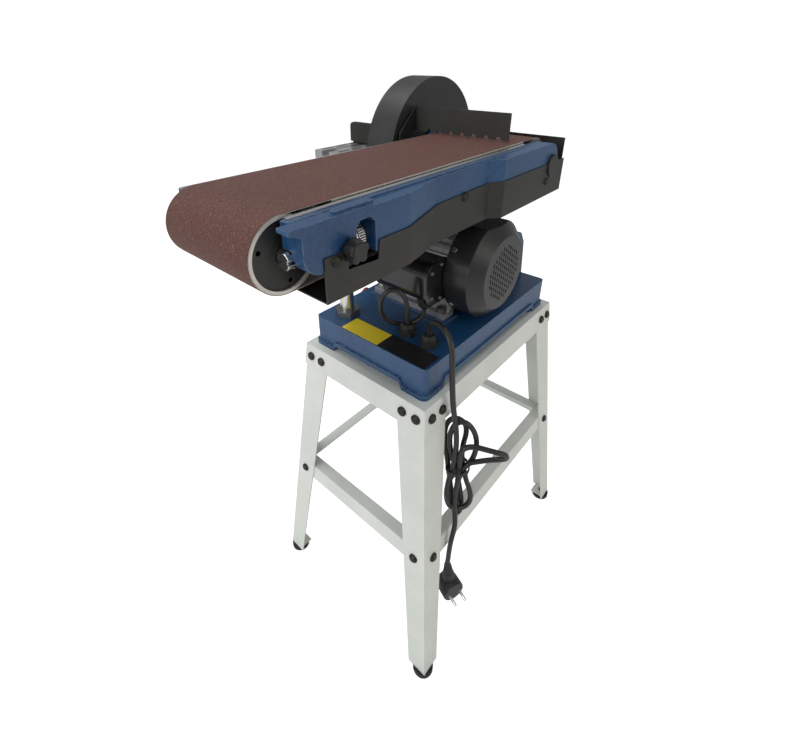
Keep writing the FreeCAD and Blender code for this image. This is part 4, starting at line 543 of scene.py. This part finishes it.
# ---- Turned and moulded trim ----------------------------------------------------------------
MM = 0.001
IDLER_X, ARM_Z, SCREW_Y = -345.75, 786.0, -80.0
DRUM_NEAR_END = -70.0
PLATE_DEPTH = 3.0
AXLE_RADIUS = 8.5
WHEEL_X, WHEEL_RADIUS = -274.0, 17.5
MAINS_DIAMETER, LEAD_DIAMETER = 0.008, 0.007
TIE_HEIGHT = 0.385


def place(x, y, z):
    """A point given in millimetres from the middle of the stand."""
    return stand_point(x * MM, y * MM, z * MM)


def add_turned(shape, profile, spot, axis, steps=48):
    """Turn a profile of (radius, height) pairs round an axis; the pairs run up the outside."""
    turn = Vector((0, 0, 1)).rotation_difference(Vector(axis)).to_matrix()
    rings = []
    for radius, height in profile:
        ring = []
        for step in range(steps if radius else 1):
            angle = 2 * math.pi * step / steps
            local = Vector((radius * math.cos(angle), radius * math.sin(angle), height)) * MM
            ring.append(shape.verts.new(place(*spot) + turn @ local))
        rings.append(ring)
    for low, high in zip(rings, rings[1:]):
        for step in range(steps):
            after = step + 1
            corners = [low[step % len(low)], low[after % len(low)], high[after % len(high)],
                       high[step % len(high)]]
            shape.faces.new(list(dict.fromkeys(corners)))


def add_bar(shape, outline, start, end):
    """A straight bar along X with an outline of (y, z) pairs."""
    ends = []
    for x in (start, end):
        ends.append([shape.verts.new(place(x, SCREW_Y + y, ARM_Z + z)) for y, z in outline])
    for step in range(len(outline)):
        after = (step + 1) % len(outline)
        shape.faces.new((ends[0][step], ends[0][after], ends[1][after], ends[1][step]))
    shape.faces.new(ends[0])
    shape.faces.new(ends[1])


def plain_mesh(drawn):
    """The evaluated shape of a drawn object as a mesh of its own."""
    return bpy.data.meshes.new_from_object(drawn.evaluated_get(bpy.context.evaluated_depsgraph_get()))


def finish_piece(name, shape, body, finish, slot, *replaced, soften=0.0):
    """Turn a mesh's faces outward, round its sharp edges, and hand it to the frame on its body."""
    bmesh.ops.recalc_face_normals(shape, faces=shape.faces)
    if soften:
        sharp = [edge for edge in shape.edges if edge.calc_face_angle(0.0) > math.radians(30)]
        bmesh.ops.bevel(shape, geom=sharp, offset=soften * MM, segments=2, affect="EDGES",
                        clamp_overlap=True)
    mesh = bpy.data.meshes.new(name)
    shape.to_mesh(mesh)
    shape.free()
    mesh.materials.append(finish)
    mesh.shade_smooth()
    mesh.set_sharp_from_angle(angle=math.radians(35))
    made = bpy.data.objects.new(name, mesh)
    bpy.context.scene.collection.objects.link(made)
    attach(made, body)
    if replaced:
        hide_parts(*replaced)
    return made


def take_up_fork():
    """The idler's axle on a round slotted bar that the tension screw pulls."""
    shape = bmesh.new()
    reach, gap, jaw_end, bar_end = 8.5, 2.0, -338.0, -297.0
    tip = IDLER_X - 10.25
    start = math.asin(gap / reach)
    for side in (1, -1):
        arc = [start + (math.pi - 2 * start) * step / 16 for step in range(17)]
        jaw = [(reach * math.cos(angle), side * reach * math.sin(angle)) for angle in arc]
        add_bar(shape, jaw, tip, jaw_end)
    around = [math.pi * step / 20 for step in range(40)]
    whole = [(reach * math.cos(angle), reach * math.sin(angle)) for angle in around]
    add_bar(shape, whole, jaw_end, bar_end)
    axle = [(0, 0), (AXLE_RADIUS, 0), (AXLE_RADIUS, 177), (0, 177)]
    screw = [(0, 0), (4.2, 0), (5, 0.8), (5, 51), (4.2, 52), (0, 52)]
    add_turned(shape, axle, (IDLER_X, -84, ARM_Z), (0, 1, 0))
    add_turned(shape, screw, (bar_end, SCREW_Y, ARM_Z), (1, 0, 0))
    return finish_piece("take_up_fork", shape, "carriage", bright, "idler_carriage", "idler_carriage",
                        soften=0.4)


def end_plate():
    """The dark pressed plate in the near end of the idler drum, with its three small holes."""
    flat = bpy.data.curves.new("end_plate", "CURVE")
    flat.dimensions = "2D"
    flat.fill_mode = "BOTH"
    flat.extrude = 0.5 * MM
    hole_ring = 27.0
    circles = [(0.0, 0.0, 34.1), (0.0, 0.0, 9.2)]
    for turn in (160, 280, 40):
        angle = math.radians(turn)
        circles.append((hole_ring * math.cos(angle), hole_ring * math.sin(angle), 2.4))
    for x, y, radius in circles:
        steps = 64 if radius > 5 else 20
        spline = flat.splines.new("POLY")
        spline.points.add(steps - 1)
        spline.use_cyclic_u = True
        for step, point in enumerate(spline.points):
            angle = 2 * math.pi * step / steps
            across, up = x + radius * math.cos(angle), y + radius * math.sin(angle)
            point.co = (across * MM, up * MM, 0.0, 1.0)
    drawn = bpy.data.objects.new("end_plate_outline", flat)
    bpy.context.scene.collection.objects.link(drawn)
    cut = plain_mesh(drawn)
    bpy.data.objects.remove(drawn)
    cut.transform(Matrix.Translation(place(IDLER_X, DRUM_NEAR_END + PLATE_DEPTH, ARM_Z))
                  @ Matrix.Rotation(math.pi / 2, 4, "X"))
    shape = bmesh.new()
    shape.from_mesh(cut)
    bmesh.ops.remove_doubles(shape, verts=shape.verts, dist=1e-6)
    return finish_piece("idler_end_plate", shape, "idler", moulded, "idler_drum")


def knurl(name, body, spot, radius, length, count, width, finish):
    """Straight ribs round a wheel that turns about X, set out by Geometry Nodes."""
    tree = bpy.data.node_groups.new(name, "GeometryNodeTree")
    sizes = {"Count": ("NodeSocketInt", count), "Radius": ("NodeSocketFloat", radius * MM),
             "Length": ("NodeSocketFloat", length * MM), "Width": ("NodeSocketFloat", width * MM),
             "Centre": ("NodeSocketVector", tuple(place(*spot)))}
    sockets = {label: tree.interface.new_socket(label, in_out="INPUT", socket_type=kind)
               for label, (kind, value) in sizes.items()}
    tree.interface.new_socket("Geometry", in_out="OUTPUT", socket_type="NodeSocketGeometry")
    given = tree.nodes.new("NodeGroupInput").outputs
    made = {}
    for label, kind in (("index", "GeometryNodeInputIndex"), ("share", "ShaderNodeMath"),
                        ("turn", "ShaderNodeMath"), ("sine", "ShaderNodeMath"),
                        ("cosine", "ShaderNodeMath"), ("ray", "ShaderNodeCombineXYZ"),
                        ("reach", "ShaderNodeVectorMath"), ("spot", "ShaderNodeVectorMath"),
                        ("points", "GeometryNodePoints"), ("rib_size", "ShaderNodeCombineXYZ"),
                        ("rib", "GeometryNodeMeshCube"), ("tilt", "ShaderNodeCombineXYZ"),
                        ("copies", "GeometryNodeInstanceOnPoints"), ("real", "GeometryNodeRealizeInstances"),
                        ("skin", "GeometryNodeSetMaterial"), ("out", "NodeGroupOutput")):
        made[label] = tree.nodes.new(kind)
    made["share"].operation = "DIVIDE"
    made["turn"].operation = "MULTIPLY"
    made["sine"].operation = "SINE"
    made["cosine"].operation = "COSINE"
    made["reach"].operation = "SCALE"
    made["turn"].inputs[1].default_value = 2 * math.pi
    made["skin"].inputs["Material"].default_value = finish
    turn = made["turn"].outputs[0]
    for source, target in (
            (made["index"].outputs[0], made["share"].inputs[0]), (given["Count"], made["share"].inputs[1]),
            (made["share"].outputs[0], made["turn"].inputs[0]), (turn, made["sine"].inputs[0]),
            (turn, made["cosine"].inputs[0]), (made["cosine"].outputs[0], made["ray"].inputs["Y"]),
            (made["sine"].outputs[0], made["ray"].inputs["Z"]),
            (made["ray"].outputs[0], made["reach"].inputs[0]),
            (given["Radius"], made["reach"].inputs["Scale"]),
            (made["reach"].outputs[0], made["spot"].inputs[0]),
            (given["Centre"], made["spot"].inputs[1]), (given["Count"], made["points"].inputs["Count"]),
            (made["spot"].outputs[0], made["points"].inputs["Position"]),
            (given["Length"], made["rib_size"].inputs["X"]), (given["Width"], made["rib_size"].inputs["Y"]),
            (given["Width"], made["rib_size"].inputs["Z"]),
            (made["rib_size"].outputs[0], made["rib"].inputs["Size"]),
            (turn, made["tilt"].inputs["X"]), (made["points"].outputs[0], made["copies"].inputs["Points"]),
            (made["rib"].outputs["Mesh"], made["copies"].inputs["Instance"]),
            (made["tilt"].outputs[0], made["copies"].inputs["Rotation"]),
            (made["copies"].outputs[0], made["real"].inputs[0]),
            (made["real"].outputs[0], made["skin"].inputs[0]),
            (made["skin"].outputs[0], made["out"].inputs[0])):
        tree.links.new(source, target)
    seed = bpy.data.objects.new(name + "_seed", bpy.data.meshes.new(name + "_seed"))
    bpy.context.scene.collection.objects.link(seed)
    modifier = seed.modifiers.new(name, "NODES")
    modifier.node_group = tree
    for label, (kind, value) in sizes.items():
        modifier[sockets[label].identifier] = value
    ribs = plain_mesh(seed)
    bpy.data.objects.remove(seed)
    ribs.name = name
    made_object = bpy.data.objects.new(name, ribs)
    bpy.context.scene.collection.objects.link(made_object)
    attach(made_object, body)
    return made_object


def angled_plug():
    """A round side-entry plug: a ribbed collar from above and a round body facing the stand's front."""
    shape = bmesh.new()
    facing = Vector((-0.36, -0.93, 0.0)).normalized()
    face = Vector((-158.5, -172.0, 134.0))
    back = face - facing * 33
    body = [(0, 0), (11, 0), (16, 4), (18.5, 11), (19, 20), (19, 31), (18, 33), (0, 33)]
    add_turned(shape, body, back, facing)
    collar = [(0, 0), (10, 0), (9.5, 22)]
    for rib in range(5):
        low = 24 + rib * 5.2
        radius = 8.2 - rib * 0.55
        collar += [(radius, low), (radius, low + 3.0), (radius - 1.1, low + 3.3), (radius - 1.1, low + 5.0)]
    collar += [(4.6, 56), (0, 56)]
    middle = back + facing * 16
    top = Vector((-161, -156, 202))
    lift = (top - Vector((middle.x, middle.y, 146))).normalized()
    add_turned(shape, collar, top - lift * 56, lift, 32)
    return finish_piece("side_entry_plug", shape, "frame", moulded, "mains_plug", "mains_plug"), face, facing


def plug_contacts(face, facing):
    """Two round pins with domed ends, one each side of the plug's middle."""
    shape = bmesh.new()
    side = Vector((facing.y, -facing.x, 0.0))
    half_spacing = 9.5
    pin = [(0, -2), (2.4, -2), (2.4, 17), (1.7, 18.6), (0, 19)]
    for way in (-1, 1):
        add_turned(shape, pin, face + side * half_spacing * way, facing, 24)
    return finish_piece("round_pins", shape, "frame", bright, "plug_pins", "plug_pins")


def wire_tie(line, height):
    """A thin wire tie, drawn close round every turn of the cord at one height, with a twisted tail."""
    near = [point for point in line if abs(point.z - height) < 8 * MM]
    cord_half = 4.4 * MM
    low = Vector((min(p.x for p in near) - cord_half, min(p.y for p in near) - cord_half, height))
    high = Vector((max(p.x for p in near) + cord_half, max(p.y for p in near) + cord_half, height))
    middle, half = (low + high) / 2, (high - low) / 2
    turns = bpy.data.curves.new("cord_tie", "CURVE")
    turns.dimensions = "3D"
    turns.bevel_depth = 1.1 * MM
    turns.bevel_resolution = 3
    turns.use_fill_caps = True
    steps, rounds = 20, 3
    spline = turns.splines.new("NURBS")
    spline.points.add(steps * rounds + 3)
    for step, point in enumerate(spline.points):
        angle = -math.pi / 2 + 2 * math.pi * min(step, steps * rounds) / steps
        climb = (step / (steps * rounds) - 0.5) * 6 * MM
        tail = max(0, step - steps * rounds)
        out = 1.0 + 0.02 * math.sin(3 * angle)
        point.co = (middle.x + half.x * out * math.cos(angle) - tail * 1.5 * MM,
                    middle.y + half.y * out * math.sin(angle) - tail * 0.5 * MM,
                    height + climb - tail * 4 * MM, 1.0)
    spline.order_u = 3
    spline.use_endpoint_u = True
    drawn = bpy.data.objects.new("cord_tie_line", turns)
    bpy.context.scene.collection.objects.link(drawn)
    tube = plain_mesh(drawn)
    bpy.data.objects.remove(drawn)
    shape = bmesh.new()
    shape.from_mesh(tube)
    bmesh.ops.remove_doubles(shape, verts=shape.verts, dist=1e-6)
    return finish_piece("cord_tie", shape, "frame", moulded, "mains_cord")


def smooth_line(curve_object):
    """The points of a cord's smooth line, read with no thickness."""
    thickness = curve_object.data.bevel_depth
    curve_object.data.bevel_depth = 0.0
    line = plain_mesh(curve_object)
    curve_object.data.bevel_depth = thickness
    return [vertex.co.copy() for vertex in line.vertices]


take_up_fork()
end_plate()
knurl("wheel_knurl", "tension_wheel", (WHEEL_X, SCREW_Y, ARM_Z), WHEEL_RADIUS,
      length=8.0, count=44, width=1.0, finish=moulded)
plug_body, plug_face, plug_way = angled_plug()
contacts = plug_contacts(plug_face, plug_way)
mains = cord_line("mains_flex", MAINS_ROUTE, MAINS_DIAMETER, cord_skin)
tie = wire_tie(smooth_line(mains), TIE_HEIGHT)
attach(mains, "frame")
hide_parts("mains_cord", "cord_hank")
lead = cord_line("motor_flex", LEAD_ROUTE, LEAD_DIAMETER, cord_skin)
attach(lead, "frame")
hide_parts("motor_lead")


# ---- Floor, light and camera --------------------------------------------------------------------
def floor_finish():
    f = Finish("floor_paint")
    cloud = f.noise(1.2, 3.0, 0.5)
    seen = f.node("LightPath", out="Is Camera Ray")
    f.feed(f.shader.inputs["Emission Color"], f.mix(seen, (0.04, 0.04, 0.04), (0.72, 0.72, 0.72)))
    return f.done(Base_Color=f.mix(cloud, (0.8, 0.8, 0.8), (0.83, 0.83, 0.83)), Roughness=0.8,
                  Emission_Strength=1.0)


ground = bpy.data.meshes.new("floor")
ground.from_pydata([(-30, -30, 0), (30, -30, 0), (30, 30, 0), (-30, 30, 0)], [], [(0, 1, 2, 3)])
ground.materials.append(floor_finish())
floor = bpy.data.objects.new("floor", ground)
bpy.context.scene.collection.objects.link(floor)


def soft_light(name, spot, aim, size, power, tint=(1.0, 1.0, 1.0)):
    lamp = bpy.data.lights.new(name, "AREA")
    lamp.shape = "RECTANGLE"
    lamp.size, lamp.size_y = size
    lamp.energy = power
    lamp.color = tint
    made = bpy.data.objects.new(name, lamp)
    bpy.context.scene.collection.objects.link(made)
    made.location = spot
    made.rotation_mode = "QUATERNION"
    made.rotation_quaternion = (Vector(aim) - Vector(spot)).to_track_quat("-Z", "Y")
    return made


middle = (cad_box[0] + cad_box[1]) / 2
soft_light("overhead", (-0.3, 0.6, 3.2), middle, (2.4, 2.0), 42.0)
soft_light("left_window", (-3.0, 0.2, 1.7), middle, (2.2, 2.0), 42.0)
soft_light("right_fill", (0.6, -3.2, 1.3), middle, (1.8, 1.6), 24.0, (1.0, 0.95, 0.88))
world = bpy.data.worlds.new("studio")
world.use_nodes = True
sky = world.node_tree.nodes["Background"]
seen = world.node_tree.nodes.new("ShaderNodeLightPath")
brightness = world.node_tree.nodes.new("ShaderNodeMapRange")
brightness.inputs["To Min"].default_value = 0.34
brightness.inputs["To Max"].default_value = 1.05
world.node_tree.links.new(seen.outputs["Is Camera Ray"], brightness.inputs["Value"])
world.node_tree.links.new(brightness.outputs["Result"], sky.inputs["Strength"])
sky.inputs["Color"].default_value = (1.0, 1.0, 1.0, 1.0)
bpy.context.scene.world = world
bpy.context.scene.view_settings.view_transform = "Standard"

AZIMUTH, ELEVATION, ROLL = (math.radians(a) for a in (-47.59, 26.84, -0.69))
back = Vector((math.sin(AZIMUTH) * math.cos(ELEVATION), -math.cos(AZIMUTH) * math.cos(ELEVATION),
               math.sin(ELEVATION)))
lens = bpy.data.cameras.new("camera")
lens.sensor_width = 36.0
lens.lens = 36.0 * 450.5 / 810.0
lens.shift_x = 0.0291
lens.shift_y = -0.108
lens.clip_start = 0.01
camera = bpy.data.objects.new("camera", lens)
bpy.context.scene.collection.objects.link(camera)
camera.location = (-0.5018, -0.45985, 0.9472)
camera.rotation_mode = "QUATERNION"
camera.rotation_quaternion = (-back).to_track_quat("-Z", "Y")
camera.rotation_quaternion.rotate(Matrix.Rotation(ROLL, 3, back).to_quaternion())
bpy.context.scene.camera = camera
